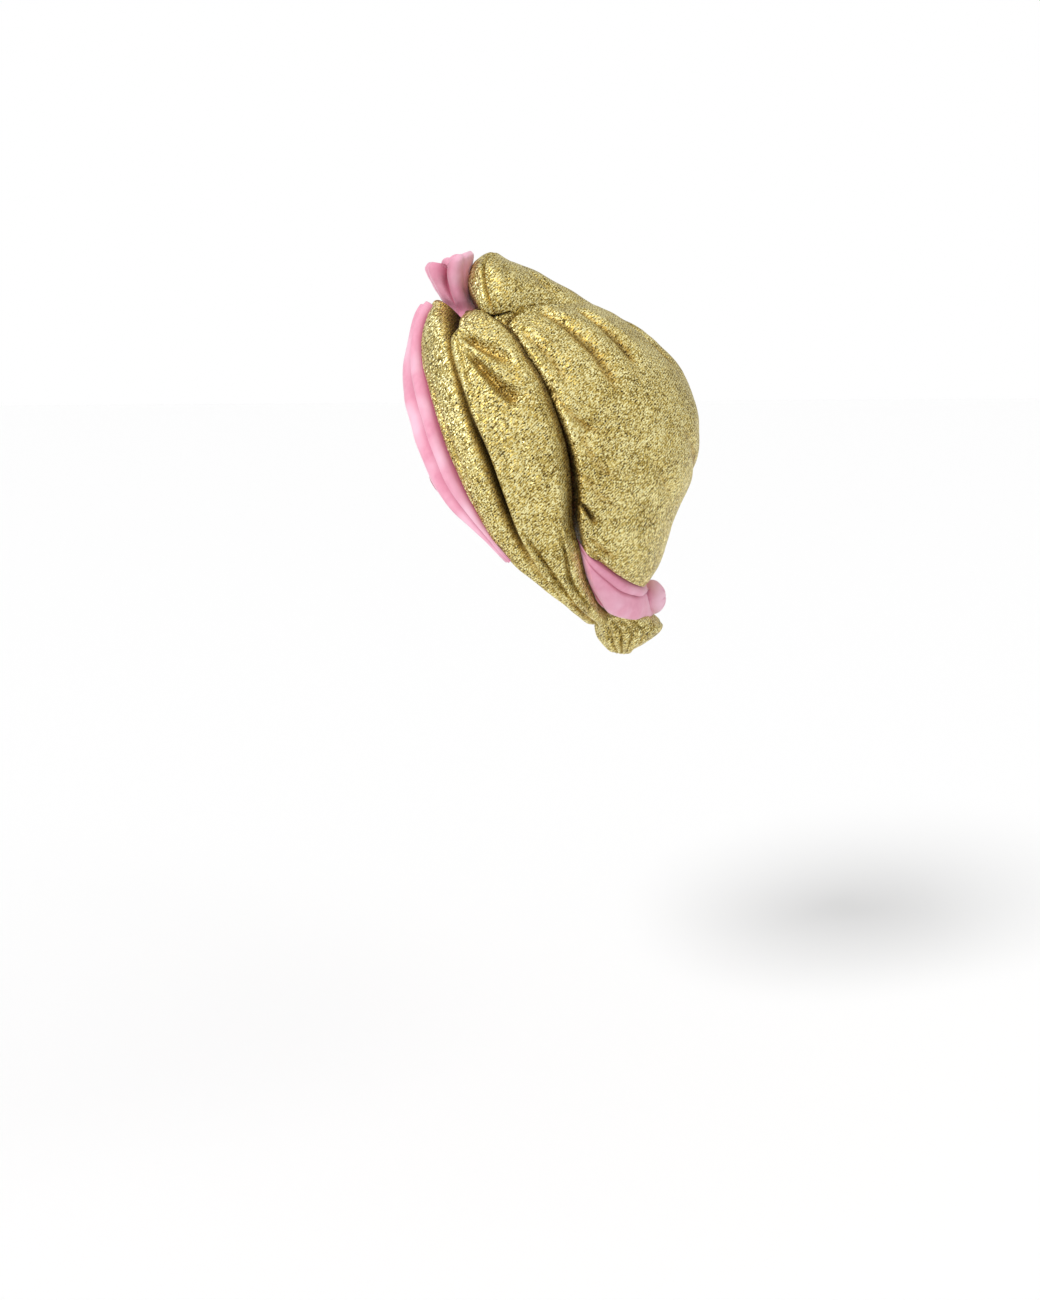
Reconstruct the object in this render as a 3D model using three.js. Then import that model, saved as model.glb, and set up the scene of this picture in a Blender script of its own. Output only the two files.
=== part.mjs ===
// Turban: a double-faced head wrap, gold outside and pink velvet inside.
// Millimetres, +Z up, +X the wearer's left, the face toward -Y.
// The origin is the middle of the head hollow, where the wrap is widest.
// Each cloth piece is a wall drawn over one rounded head form: a direction from the form's
// centre picks the place, and a height above the form makes the puffs, folds and creases.
import * as THREE from 'three';
import { mergeVertices } from 'three/addons/utils/BufferGeometryUtils.js';

// Driving dimensions
const CLOTH = 2.4;
const GAP = 0.4;
const HALF_WIDTH = 88;
const ROUNDNESS = 2.4;
const CENTRE = new THREE.Vector3(0, 6, 14);
const BAND_PUFF = 6;
const BAND_EDGE_DROP = 8;
const CROWN_UNDER_BAND = -13;
const CROWN_RISE = 16;
const MOUND_HEIGHT = 21;
const MOUND_SPREAD_DEG = 22;
const MOUND_MIDDLE = new THREE.Vector3(0, -83, 122);
const PINCH = { x: 40, y: -64, z: 99, depth: 13, spread: 9 };

// Radius of the form in its middle plane, one value for each 30 degrees from the back, upward
const FORM_STEP_DEG = 30;
const FORM_RADII = [98, 103, 102, 108, 114, 108, 102, 107, 118, 122, 114, 94];

// The gold band on the wearer's left: one row for each section from the front knot to the nape.
// seam is the place on the velvet seam, rear the place on the crease beside the crown.
// A deep crease runs down the band: split is the share of the way from seam to rear where it
// lies, and depth how far it goes in.
const BAND_SECTIONS = [
  { seam: [12, -84, 121], rear: [36, -50, 113], split: 0.46, depth: 4 },
  { seam: [22, -92, 100], rear: [56, -31, 100], split: 0.4, depth: 8 },
  { seam: [32, -91, 80], rear: [70, -21, 85], split: 0.36, depth: 6 },
  { seam: [46, -86, 62], rear: [79, -11, 68], split: 0.33, depth: 5 },
  { seam: [57, -80, 43], rear: [84, -2, 45], split: 0.32, depth: 6 },
  { seam: [66, -72, 20], rear: [86, 5, 20], split: 0.34, depth: 8 },
  { seam: [71, -61, -2], rear: [86, 8, -5], split: 0.35, depth: 8.5 },
  { seam: [74, -48, -27], rear: [83, 9, -29], split: 0.36, depth: 6 },
  { seam: [73, -31, -51], rear: [78, 14, -46], split: 0.35, depth: 2.5 },
  { seam: [68, -10, -69], rear: [70, 22, -63], split: 0.34, depth: 1 },
  { seam: [56, 9, -84], rear: [57, 34, -80], split: 0.4, depth: 3 },
  { seam: [32, 26, -106], rear: [34, 48, -98], split: 0.45, depth: 4 },
];
const SPLIT_WIDTH = 5;

// Lower edge of the velvet, one row for each section, on the left and on the right.
// The left one laps over the right one at the forehead.
const VELVET_LOWER_LEFT = [
  [-9, -90, 114], [-14, -99, 98], [-10, -102, 80], [0, -101, 58], [22, -99, 42], [42, -92, 20],
  [53, -84, -2], [62, -68, -26], [70, -44, -49],
];
const VELVET_LOWER_RIGHT = [
  [-11.5, -90, 114], [-17, -99, 98], [-14, -102, 80], [-9, -101, 61], [-23, -99, 42],
  [-42, -92, 20], [-53, -84, -2], [-62, -68, -26], [-70, -44, -49],
];

// Folds as [y, z] places seen from the side. A crease goes in by depth over width,
// and its shoulders rise by lift.
const BAND_FOLDS = [
  { path: [[-64, 94], [-53, 93], [-36, 91]], depth: 4, width: 4.2, lift: 1.2 },
  { path: [[-63, 92], [-53, 84], [-39, 77], [-24, 72]], depth: 6, width: 5.2, lift: 1.8 },
  { path: [[-60, 88], [-46, 70], [-35, 61], [-27, 53]], depth: 5, width: 5, lift: 1.5 },
  { path: [[-20, 60], [-12, 30], [-8, 0], [-4, -30]], depth: 2.2, width: 6, lift: 0.8 },
  { path: [[-34, 40], [-26, 10], [-14, -25], [0, -60]], depth: 2, width: 7, lift: 0.6 },
];
const CROWN_FOLDS = [
  { path: [[-28, 100], [-12, 86], [1, 68], [15, 50], [34, 36]], depth: 4, width: 6, lift: 1.5 },
  { path: [[-6, 88], [8, 70], [26, 50], [48, 34]], depth: 2.6, width: 6, lift: 1.2 },
  { path: [[-10, 112], [10, 108], [28, 93], [42, 74], [52, 50]], depth: 4, width: 7, lift: 1.5 },
  { path: [[30, 106], [48, 92], [57, 78]], depth: 3, width: 6, lift: 1.2 },
  { path: [[58, 96], [72, 74], [78, 52]], depth: 2.2, width: 7, lift: 0.8 },
  { path: [[16, -17], [24, -27], [32, -34]], depth: 7, width: 4, lift: 2 },
  { path: [[30, -36], [50, -44], [70, -48]], depth: 3, width: 7, lift: 1 },
];

// The gold roll behind the velvet twist, along the middle plane from its front foot to its tail.
// angle is in degrees up from the back, half the roll's half-width in degrees, rise its height.
const ROLL_SECTIONS = [
  { angle: 118, half: 16, rise: 3 },
  { angle: 117.4, half: 19, rise: 12 },
  { angle: 116, half: 21, rise: 21 },
  { angle: 113, half: 22.5, rise: 30 },
  { angle: 109, half: 23, rise: 32.5 },
  { angle: 104, half: 22.5, rise: 26 },
  { angle: 98, half: 20, rise: 20 },
  { angle: 92, half: 18, rise: 15 },
  { angle: 86, half: 15, rise: 10.5 },
  { angle: 80, half: 11, rise: 6 },
  { angle: 75, half: 7, rise: 3 },
];

// The velvet twist, ring by ring upward. flute is how far its pleats go in and out, and
// lean how much higher a ring is at the back than at the front.
const TWIST_RINGS = [
  { y: -60, z: 113.5, halfX: 11, halfY: 7, flute: 0.8, lean: 0 },
  { y: -64, z: 120, halfX: 15, halfY: 10, flute: 1.6, lean: 0 },
  { y: -70, z: 127, halfX: 21, halfY: 15, flute: 2.6, lean: 0.05 },
  { y: -70, z: 136, halfX: 24, halfY: 15, flute: 3.2, lean: 0.2 },
  { y: -69, z: 148, halfX: 26, halfY: 15.5, flute: 3.8, lean: 0.3 },
];
const TWIST_FLUTES = 7;

// The velvet strip round the nape, from its left end to the middle: across is the share of the
// way along the crown's lower edge, lower the place on the strip's own lower edge
const NAPE_SECTIONS = [
  { across: 0.1, lower: [75, 15, -56] },
  { across: 0.135, lower: [67, 23, -70] },
  { across: 0.19, lower: [55, 33, -82] },
  { across: 0.29, lower: [37, 43, -90] },
  { across: 0.4, lower: [19, 64, -101] },
  { across: 0.5, lower: [0, 71, -103] },
];
const NAPE_KNOT = { y: 77.2, z: -90, halfX: 14, halfY: 6.6, halfZ: 11.5 };

// The gathered gold tail under the nape, ring by ring downward
const TAIL_RINGS = [
  { y: 47, z: -97, halfX: 17, halfY: 8, flute: 0.6, lean: 0 },
  { y: 49, z: -103.4, halfX: 20, halfY: 11, flute: 0.8, lean: 0 },
  { y: 54.5, z: -106.4, halfX: 29, halfY: 23, flute: 1.6, lean: 0 },
  { y: 57, z: -110.5, halfX: 31, halfY: 24, flute: 2.4, lean: 0 },
  { y: 54, z: -118, halfX: 27, halfY: 19.5, flute: 2.6, lean: 0 },
  { y: 52.5, z: -124.5, halfX: 20, halfY: 13.5, flute: 2, lean: 0 },
  { y: 52.5, z: -130, halfX: 11, halfY: 6.5, flute: 1, lean: 0 },
];
const TAIL_FLUTES = 7;

const GOLD = new THREE.MeshStandardMaterial({
  name: 'gold lame',
  color: 0xb79a3e,
  roughness: 0.38,
  metalness: 0.75,
});
const PINK = new THREE.MeshStandardMaterial({
  name: 'pink velvet',
  color: 0xf3a9cd,
  roughness: 0.9,
  metalness: 0,
});

// The head form
const radians = THREE.MathUtils.degToRad;
const smooth = (low, high, x) => THREE.MathUtils.smoothstep(x, low, high);
const bell = (x, width) => Math.exp(-((x / width) ** 2));

function middleRadius(angle) {
  const count = FORM_RADII.length;
  const place = ((THREE.MathUtils.radToDeg(angle) + 360) % 360) / FORM_STEP_DEG;
  const first = Math.floor(place);
  const t = place - first;
  const [a, b, c, d] = [-1, 0, 1, 2].map((k) => FORM_RADII[(first + k + count) % count]);
  const square = 2 * a - 5 * b + 4 * c - d;
  const cube = 3 * b - a - 3 * c + d;
  return 0.5 * (2 * b + (c - a) * t + square * t ** 2 + cube * t ** 3);
}

function formRadius(direction) {
  const across = Math.hypot(direction.y, direction.z);
  const side = Math.abs(direction.x) / HALF_WIDTH;
  const middle = across / middleRadius(Math.atan2(direction.z, direction.y));
  return (middle ** ROUNDNESS + side ** ROUNDNESS) ** (-1 / ROUNDNESS);
}

const toward = (x, y, z) => new THREE.Vector3(x, y, z).sub(CENTRE).normalize();
const onForm = (direction, height = 0) =>
  direction.clone().multiplyScalar(formRadius(direction) + height).add(CENTRE);

// A place seen from the side, put on the left half of the form
function fromSide([y, z]) {
  const dy = y - CENTRE.y;
  const dz = z - CENTRE.z;
  const share = Math.min(Math.hypot(dy, dz) / middleRadius(Math.atan2(dz, dy)), 1);
  return new THREE.Vector3(HALF_WIDTH * (1 - share ** ROUNDNESS) ** (1 / ROUNDNESS), y, z);
}

const FOLD_STEPS = 20;
const smoothCurve = (points) => new THREE.CatmullRomCurve3(points, false, 'centripetal');

function prepareFold(fold) {
  const route = smoothCurve(fold.path.map(fromSide)).getPoints(FOLD_STEPS);
  return { ...fold, route };
}

// Nearest place on a route: how far away it is and how far along, 0 to 1
const segment = new THREE.Line3();
const foot = new THREE.Vector3();
function nearest(route, point) {
  let best = Infinity;
  let along = 0;
  for (let i = 0; i + 1 < route.length; i += 1) {
    segment.set(route[i], route[i + 1]);
    const t = segment.closestPointToPointParameter(point, true);
    const distance = segment.at(t, foot).distanceTo(point);
    if (distance < best) {
      best = distance;
      along = (i + t) / (route.length - 1);
    }
  }
  return { distance: best, along };
}

function foldHeight(folds, point) {
  const leftPoint = new THREE.Vector3(Math.abs(point.x), point.y, point.z);
  return folds.reduce((sum, fold) => {
    const { distance, along } = nearest(fold.route, leftPoint);
    const strength = smooth(-0.15, 0.25, along) * (1 - smooth(0.65, 1.1, along));
    const valley = -fold.depth * bell(distance, fold.width);
    const shoulders = fold.lift * bell(distance - 2.2 * fold.width, 1.2 * fold.width);
    return sum + strength * (valley + shoulders);
  }, 0);
}

// The cloth heaps up toward the front knot
const moundDirection = toward(...MOUND_MIDDLE);
function mound(direction) {
  const away = THREE.MathUtils.radToDeg(direction.angleTo(moundDirection));
  return MOUND_HEIGHT * bell(away, MOUND_SPREAD_DEG);
}

const pinchPoint = onForm(toward(PINCH.x, PINCH.y, PINCH.z));
function pinchDip(point) {
  const leftPoint = new THREE.Vector3(Math.abs(point.x), point.y, point.z);
  return -PINCH.depth * bell(leftPoint.distanceTo(pinchPoint), PINCH.spread);
}

// A closed wall from two grids of points: the outer face and the inner face
function wall(outer, inner, closedAcross = false) {
  const rows = outer.length;
  const columns = outer[0].length;
  const size = rows * columns;
  const positions = [outer, inner].flat(2).flatMap((p) => [p.x, p.y, p.z]);
  const faces = [];
  const at = (side, i, j) => side * size + i * columns + (j % columns);
  const quad = (a, b, c, d) => faces.push(a, b, c, a, c, d);
  const spans = closedAcross ? columns : columns - 1;
  for (let i = 0; i + 1 < rows; i += 1) {
    for (let j = 0; j < spans; j += 1) {
      quad(at(0, i, j), at(0, i + 1, j), at(0, i + 1, j + 1), at(0, i, j + 1));
      quad(at(1, i, j), at(1, i, j + 1), at(1, i + 1, j + 1), at(1, i + 1, j));
    }
  }
  for (let j = 0; j < spans; j += 1) {
    quad(at(0, 0, j), at(0, 0, j + 1), at(1, 0, j + 1), at(1, 0, j));
    quad(at(0, rows - 1, j + 1), at(0, rows - 1, j), at(1, rows - 1, j), at(1, rows - 1, j + 1));
  }
  if (!closedAcross) {
    for (let i = 0; i + 1 < rows; i += 1) {
      quad(at(0, i + 1, 0), at(0, i, 0), at(1, i, 0), at(1, i + 1, 0));
      const last = columns - 1;
      quad(at(0, i, last), at(0, i + 1, last), at(1, i + 1, last), at(1, i, last));
    }
  }
  return closedBody(positions, faces);
}

function signedVolume(geometry) {
  const p = geometry.attributes.position;
  const order = geometry.index.array;
  const [a, b, c] = [0, 1, 2].map(() => new THREE.Vector3());
  let sum = 0;
  for (let i = 0; i < order.length; i += 3) {
    a.fromBufferAttribute(p, order[i]);
    b.fromBufferAttribute(p, order[i + 1]);
    c.fromBufferAttribute(p, order[i + 2]);
    sum += a.dot(b.cross(c)) / 6;
  }
  return sum;
}

// Faces are turned to point out, whichever way the grid ran
function closedBody(positions, faces) {
  const geometry = new THREE.BufferGeometry();
  geometry.setAttribute('position', new THREE.Float32BufferAttribute(positions, 3));
  geometry.setIndex(faces);
  if (signedVolume(geometry) < 0) {
    const order = geometry.index.array;
    for (let i = 0; i < order.length; i += 3) {
      [order[i + 1], order[i + 2]] = [order[i + 2], order[i + 1]];
    }
  }
  const merged = mergeVertices(geometry, 1e-3);
  merged.computeVertexNormals();
  return merged;
}

const steps = (count, make) => Array.from({ length: count + 1 }, (_, i) => make(i / count));
const mirrorX = (point) => new THREE.Vector3(-point.x, point.y, point.z);

// A wall over the form: place(u, v) gives a direction, height(direction, u, v) its outer height
function formWall({ rows, columns, place, height, thickness = () => CLOTH }) {
  const outer = [];
  const inner = [];
  for (const u of steps(rows, (t) => t)) {
    const line = steps(columns, (t) => t).map((v) => {
      const direction = place(u, v);
      const top = height(direction, u, v);
      return [onForm(direction, top), onForm(direction, top - thickness(u, v))];
    });
    outer.push(line.map((pair) => pair[0]));
    inner.push(line.map((pair) => pair[1]));
  }
  return wall(outer, inner);
}

// Crown: arcs over the head from a point low on the left to one low on the right
const CROWN = {
  rows: 26,
  columns: 25,
  frontDeg: 123,
  backDeg: -56,
  reach: 0.965,
  pole: new THREE.Vector3(77, -20, -30),
};
const bandFolds = BAND_FOLDS.map(prepareFold);
const crownFolds = CROWN_FOLDS.map(prepareFold);
const rearRail = smoothCurve(BAND_SECTIONS.map((s) => onForm(toward(...s.rear))));
const rearRoute = rearRail.getPoints(60);

function crownPlace(u, v) {
  const angle = radians(THREE.MathUtils.lerp(CROWN.frontDeg, CROWN.backDeg, u));
  const across = (2 * v - 1) * CROWN.reach;
  const share = Math.cos((across * Math.PI) / 2);
  const radius = middleRadius(angle);
  const x = Math.sin((across * Math.PI) / 2) * CROWN.pole.x;
  const y = share * Math.cos(angle) * radius + (1 - share) * CROWN.pole.y;
  const z = share * Math.sin(angle) * radius + (1 - share) * CROWN.pole.z;
  return new THREE.Vector3(x, y, z).normalize();
}

// How far a place lies behind the crease between band and crown; less than nothing in front of it
function behindCrease(point) {
  const leftPoint = new THREE.Vector3(Math.abs(point.x), point.y, point.z);
  const { distance, along } = nearest(rearRoute, leftPoint);
  const onRail = rearRail.getPoint(along);
  const tangent = rearRail.getTangent(along);
  const normal = onRail.clone().sub(CENTRE).normalize();
  const side = new THREE.Vector3().crossVectors(normal, tangent);
  return leftPoint.sub(onRail).dot(side) > 0 ? distance : -distance;
}

// The crown dives under the band: ordinary is its height where it is clear of it
function diveUnderBand(point, ordinary) {
  const rise = smooth(0, CROWN_RISE, behindCrease(point));
  return THREE.MathUtils.lerp(CROWN_UNDER_BAND, ordinary, rise);
}

function crownHeight(direction) {
  const point = onForm(direction);
  return diveUnderBand(point, foldHeight(crownFolds, point));
}

const crown = () => formWall({ ...CROWN, place: crownPlace, height: crownHeight });

// Side band: from the velvet seam to the crease beside the crown
const BAND = { rows: 33, columns: 14, splitColumn: 5 };
const seamRail = smoothCurve(BAND_SECTIONS.map((s) => toward(...s.seam)));
const creaseRail = smoothCurve(BAND_SECTIONS.map((s) => toward(...s.rear)));

const bandValue = (name) =>
  smoothCurve(BAND_SECTIONS.map((s, i) => new THREE.Vector3(i, s[name], 0)));
const splitShare = bandValue('split');
const splitDepth = bandValue('depth');

// One column of the wall runs along the deep crease
function bandShare(u, v) {
  const split = splitShare.getPoint(u).y;
  const column = BAND.splitColumn / BAND.columns;
  return v < column ? (v / column) * split : split + ((v - column) / (1 - column)) * (1 - split);
}

function bandPlace(u, v) {
  return seamRail.getPoint(u).lerp(creaseRail.getPoint(u), bandShare(u, v)).normalize();
}

function bandHeight(direction, u, v) {
  const point = onForm(direction);
  const share = bandShare(u, v);
  const split = splitShare.getPoint(u).y;
  const width = seamRail.getPoint(u).angleTo(creaseRail.getPoint(u)) * formRadius(direction);
  const fromSplit = (share - split) * width;
  const crease = -splitDepth.getPoint(u).y * bell(fromSplit, SPLIT_WIDTH);
  const puff = BAND_PUFF * Math.sin(Math.PI * Math.min(Math.max(share, 0.03), 0.97)) ** 0.5;
  const rearRoll = -BAND_EDGE_DROP * smooth(0.86, 1, share);
  const frontRoll = -1.2 * (1 - smooth(0, 0.06, share));
  const folds = foldHeight(bandFolds, point) * (1 - smooth(0.7, 0.9, share));
  return puff + rearRoll + frontRoll + mound(direction) + folds + pinchDip(point) + crease;
}

const bandLeft = () => formWall({ ...BAND, place: bandPlace, height: bandHeight });

// A rolled velvet edge starts tucked under the gold one, swells in two soft ridges, turns round
// at its lower edge and runs back under itself. across is the share of the way from the gold
// edge to the velvet's lower edge, height the height above the form.
const VELVET_PATH = [
  { across: -0.08, height: -2.6 },
  { across: 0.06, height: -2.2 },
  { across: 0.14, height: 1.6 },
  { across: 0.32, height: 4.6 },
  { across: 0.56, height: 3.7 },
  { across: 0.8, height: 5.2 },
  { across: 0.96, height: 2.8 },
  { across: 1, height: 0 },
  { across: 0.9, height: -2.2 },
  { across: 0.6, height: -2.8 },
];
const NAPE_PATH = [
  { across: -0.12, height: -3.7 },
  { across: 0.06, height: -3.1 },
  { across: 0.14, height: 2.4 },
  { across: 0.34, height: 5.8 },
  { across: 0.56, height: 4.6 },
  { across: 0.8, height: 6.6 },
  { across: 0.97, height: 3 },
  { across: 1, height: 0 },
  { across: 0.88, height: -1.4 },
];
const ROLL_WALL = 1.9;

// inward is 1 or -1: the side of the rolled sheet on which its wall thickness lies.
// tuck is how much of the path's tucked start is made, and hang how far the lower edge stands
// off the form.
function rolledEdge({
  upperRail, lowerRail, path, rows, lift, fullness, inward, tuck = () => 1, hang = () => 0,
}) {
  const outer = [];
  const inner = [];
  for (const u of steps(rows, (t) => t)) {
    const upper = upperRail.getPoint(u);
    const lower = lowerRail.getPoint(u);
    const along = upperRail.getTangent(u);
    const line = path.map(({ across, height }) => {
      const share = across < 0 ? across * tuck(u) : across;
      const direction = upper.clone().lerp(lower, share).normalize();
      const swell = height * (height > 0 ? fullness(u) : 1) + hang(u) * across ** 2;
      return onForm(direction, lift(direction) + swell);
    });
    const wallBack = line.map((point, k) => {
      const before = line[Math.max(k - 1, 0)];
      const after = line[Math.min(k + 1, line.length - 1)];
      const run = after.clone().sub(before);
      return point.clone().addScaledVector(run.cross(along).normalize(), inward * ROLL_WALL);
    });
    outer.push(line);
    inner.push(wallBack);
  }
  return wall(outer, inner);
}

function velvetEdge(mirror, lowerPlaces) {
  const sections = BAND_SECTIONS.slice(0, lowerPlaces.length);
  const seams = sections.map(({ seam: [x, y, z] }) => toward(mirror * x, y, z));
  return rolledEdge({
    upperRail: smoothCurve(seams),
    lowerRail: smoothCurve(lowerPlaces.map((p) => toward(...p))),
    path: VELVET_PATH,
    rows: 22,
    lift: mound,
    fullness: (u) => 1 - 0.55 * smooth(0.6, 1, u),
    inward: -mirror,
  });
}

// Gold roll over the top of the crown
function goldRoll() {
  const read = (name) => smoothCurve(ROLL_SECTIONS.map((s, i) => new THREE.Vector3(i, s[name], 0)));
  const [angle, half, rise] = ['angle', 'half', 'rise'].map(read);
  const edge = CLOTH + GAP;
  return formWall({
    rows: 14,
    columns: 10,
    place: (u, v) => {
      const up = radians(angle.getPoint(u).y);
      const across = radians(half.getPoint(u).y * (2 * v - 1));
      const share = Math.cos(across);
      return new THREE.Vector3(Math.sin(across), share * Math.cos(up), share * Math.sin(up));
    },
    height: (direction, u, v) => {
      const round = Math.max(1 - Math.abs(2 * v - 1) ** 2.2, 0) ** 0.6;
      const above = edge + Math.max(rise.getPoint(u).y - edge, 0.2) * round;
      return foldHeight(crownFolds, onForm(direction)) + above;
    },
  });
}

// A fluted sleeve through rings, open at both ends
function flutedSleeve(rings, flutes, sides, rows) {
  const read = (name) => smoothCurve(rings.map((r, i) => new THREE.Vector3(i, r[name], 0)));
  const [y, z, halfX, halfY, flute, lean] = ['y', 'z', 'halfX', 'halfY', 'flute', 'lean'].map(read);
  const ring = (u, shrink) => Array.from({ length: sides }, (_, k) => {
    const angle = (2 * Math.PI * k) / sides;
    const wave = flute.getPoint(u).y * Math.sin(flutes * angle + 0.6);
    const back = (halfY.getPoint(u).y + wave - shrink) * Math.sin(angle);
    return new THREE.Vector3(
      (halfX.getPoint(u).y + wave - shrink) * Math.cos(angle),
      y.getPoint(u).y + back,
      z.getPoint(u).y + lean.getPoint(u).y * back,
    );
  });
  const outer = steps(rows, (u) => ring(u, 0));
  const inner = steps(rows, (u) => ring(u, CLOTH));
  return wall(outer, inner, true);
}

const twist = () => flutedSleeve(TWIST_RINGS, TWIST_FLUTES, 28, 5);
const tail = () => flutedSleeve(TAIL_RINGS, TAIL_FLUTES, 28, 7);

// Velvet strip round the nape, from one side to the other
function napeRoll() {
  const wholeRail = (left) => smoothCurve([...left, ...left.slice(0, -1).reverse().map(mirrorX)]);
  const shares = NAPE_SECTIONS.map((s) => s.across - 0.5);
  const acrossCurve = wholeRail(shares.map((share) => new THREE.Vector3(share, 0, 0)));
  const across = (u) => 0.5 - acrossCurve.getPoint(u).x;
  const lowerEdge = wholeRail(NAPE_SECTIONS.map((s) => new THREE.Vector3(...s.lower).sub(CENTRE)));
  return rolledEdge({
    upperRail: {
      getPoint: (u) => crownPlace(1, across(u)),
      getTangent: (u) => {
        const ahead = crownPlace(1, across(u) - 0.01);
        return ahead.sub(crownPlace(1, across(u) + 0.01)).normalize();
      },
    },
    lowerRail: { getPoint: (u) => lowerEdge.getPoint(u).normalize() },
    path: NAPE_PATH,
    rows: 20,
    lift: (direction) => diveUnderBand(onForm(direction), 0),
    tuck: (u) => smooth(0.05, 0.3, Math.min(u, 1 - u)),
    hang: (u) => {
      const place = lowerEdge.getPoint(u);
      return Math.max(place.length() - formRadius(place.clone().normalize()), 0);
    },
    fullness: (u) => 0.2 + 0.8 * smooth(0.12, 0.42, Math.min(u, 1 - u)),
    inward: -1,
  });
}

// Velvet knot: a bulb with soft pleats
function napeKnot() {
  const sides = 16;
  const rows = 9;
  const { y, z, halfX, halfY, halfZ } = NAPE_KNOT;
  const ball = new THREE.SphereGeometry(1, sides, rows).toNonIndexed();
  ball.deleteAttribute('normal');
  ball.deleteAttribute('uv');
  const p = ball.attributes.position;
  for (let i = 0; i < p.count; i += 1) {
    const [a, b, c] = [p.getX(i), p.getY(i), p.getZ(i)];
    const pleat = 1 + 0.06 * Math.sin(5 * Math.atan2(c, a)) * (1 - b * b);
    p.setXYZ(i, a * halfX * pleat, y + c * halfY * pleat, z + b * halfZ);
  }
  const merged = mergeVertices(ball, 1e-3);
  if (signedVolume(merged) < 0) {
    const order = merged.index.array;
    for (let i = 0; i < order.length; i += 3) {
      [order[i + 1], order[i + 2]] = [order[i + 2], order[i + 1]];
    }
  }
  return merged;
}

function mirrored(geometry) {
  const p = geometry.attributes.position;
  const flipped = Array.from(p.array, (value, i) => (i % 3 === 0 ? -value : value));
  return closedBody(flipped, Array.from(geometry.index.array));
}

const turban = new THREE.Group();
function add(name, geometry, material) {
  const mesh = new THREE.Mesh(geometry, material);
  mesh.name = name;
  turban.add(mesh);
}

const leftBand = bandLeft();
add('crown', crown(), GOLD);
add('side_band_left', leftBand, GOLD);
add('side_band_right', mirrored(leftBand), GOLD);
add('velvet_edge_left', velvetEdge(1, VELVET_LOWER_LEFT), PINK);
add('velvet_edge_right', velvetEdge(-1, VELVET_LOWER_RIGHT), PINK);
add('knot_gold_roll', goldRoll(), GOLD);
add('knot_velvet_twist', twist(), PINK);
add('nape_velvet_roll', napeRoll(), PINK);
add('nape_knot', napeKnot(), PINK);
add('nape_tail', tail(), GOLD);

export default turban;
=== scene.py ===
# %% [markdown]
# # A worn turban of gold lamé and pink velvet
# The object is one length of double-faced cloth, gold lamé outside and pink velvet inside, wrapped
# round a head, crossed in a knot above the forehead and gathered at the nape. The crown, the bands,
# the roll and the velvet edges are sheets drawn over one rounded head form, so they fit each other
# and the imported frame. The twist and the tail are gathered bundles, and the nape knot is a ball.
# The frame comes first. Its box tells how large the finished looks may be.

import math

import bmesh
import bpy
import numpy as np
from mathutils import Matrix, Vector, noise


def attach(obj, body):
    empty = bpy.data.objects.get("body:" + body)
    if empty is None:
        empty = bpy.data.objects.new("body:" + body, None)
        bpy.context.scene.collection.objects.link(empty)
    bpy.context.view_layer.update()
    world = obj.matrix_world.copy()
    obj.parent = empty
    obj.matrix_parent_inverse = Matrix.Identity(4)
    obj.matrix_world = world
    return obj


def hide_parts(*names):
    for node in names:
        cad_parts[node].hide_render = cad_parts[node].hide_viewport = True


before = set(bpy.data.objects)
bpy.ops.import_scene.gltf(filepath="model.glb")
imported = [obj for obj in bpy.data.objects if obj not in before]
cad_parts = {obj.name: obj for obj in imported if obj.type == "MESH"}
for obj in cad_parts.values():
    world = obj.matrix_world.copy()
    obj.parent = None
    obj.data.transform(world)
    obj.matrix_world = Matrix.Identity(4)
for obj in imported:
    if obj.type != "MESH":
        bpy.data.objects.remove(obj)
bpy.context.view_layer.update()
print("frame nodes:", sorted(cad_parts))

# %% [markdown]
# ## The head form
# All lengths in this script are millimetres until a mesh is made, because cloth is thought of in
# millimetres. The form is a rounded shape given by its outline in the middle plane and its half
# width. A direction from its centre picks a place on it, and a height lifts the place off it.
# Folds can then be written as heights, which is much easier than pushing single points about.

# %% The form's sizes and its radius in any direction
MM = 0.001
CLOTH = 2.2
HALF_WIDTH = 88.0
ROUNDNESS = 2.4
CENTRE = np.array([0.0, 6.0, 14.0])
FORM_STEP_DEG = 30
FORM_RADII = np.array([98, 103, 102, 108, 114, 108, 102, 107, 118, 122, 114, 94], float)


def middle_radius(angle):
    """Radius in the middle plane, smooth between the values that are 30 degrees apart."""
    place = (np.degrees(angle) % 360) / FORM_STEP_DEG
    first = np.floor(place).astype(int)
    t = place - first
    a, b, c, d = (FORM_RADII[(first + k) % len(FORM_RADII)] for k in (-1, 0, 1, 2))
    square = 2 * a - 5 * b + 4 * c - d
    cube = 3 * b - a - 3 * c + d
    return 0.5 * (2 * b + (c - a) * t + square * t**2 + cube * t**3)


def form_radius(direction):
    x, y, z = np.moveaxis(direction, -1, 0)
    middle = np.hypot(y, z) / middle_radius(np.arctan2(z, y))
    side = np.abs(x) / HALF_WIDTH
    return (middle**ROUNDNESS + side**ROUNDNESS) ** (-1 / ROUNDNESS)


def unit(vectors):
    return vectors / np.linalg.norm(vectors, axis=-1, keepdims=True)


def toward(points):
    return unit(np.asarray(points, float) - CENTRE)


def on_form(direction, height=0.0):
    reach = form_radius(direction) + height
    return CENTRE + direction * reach[..., None]


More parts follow.
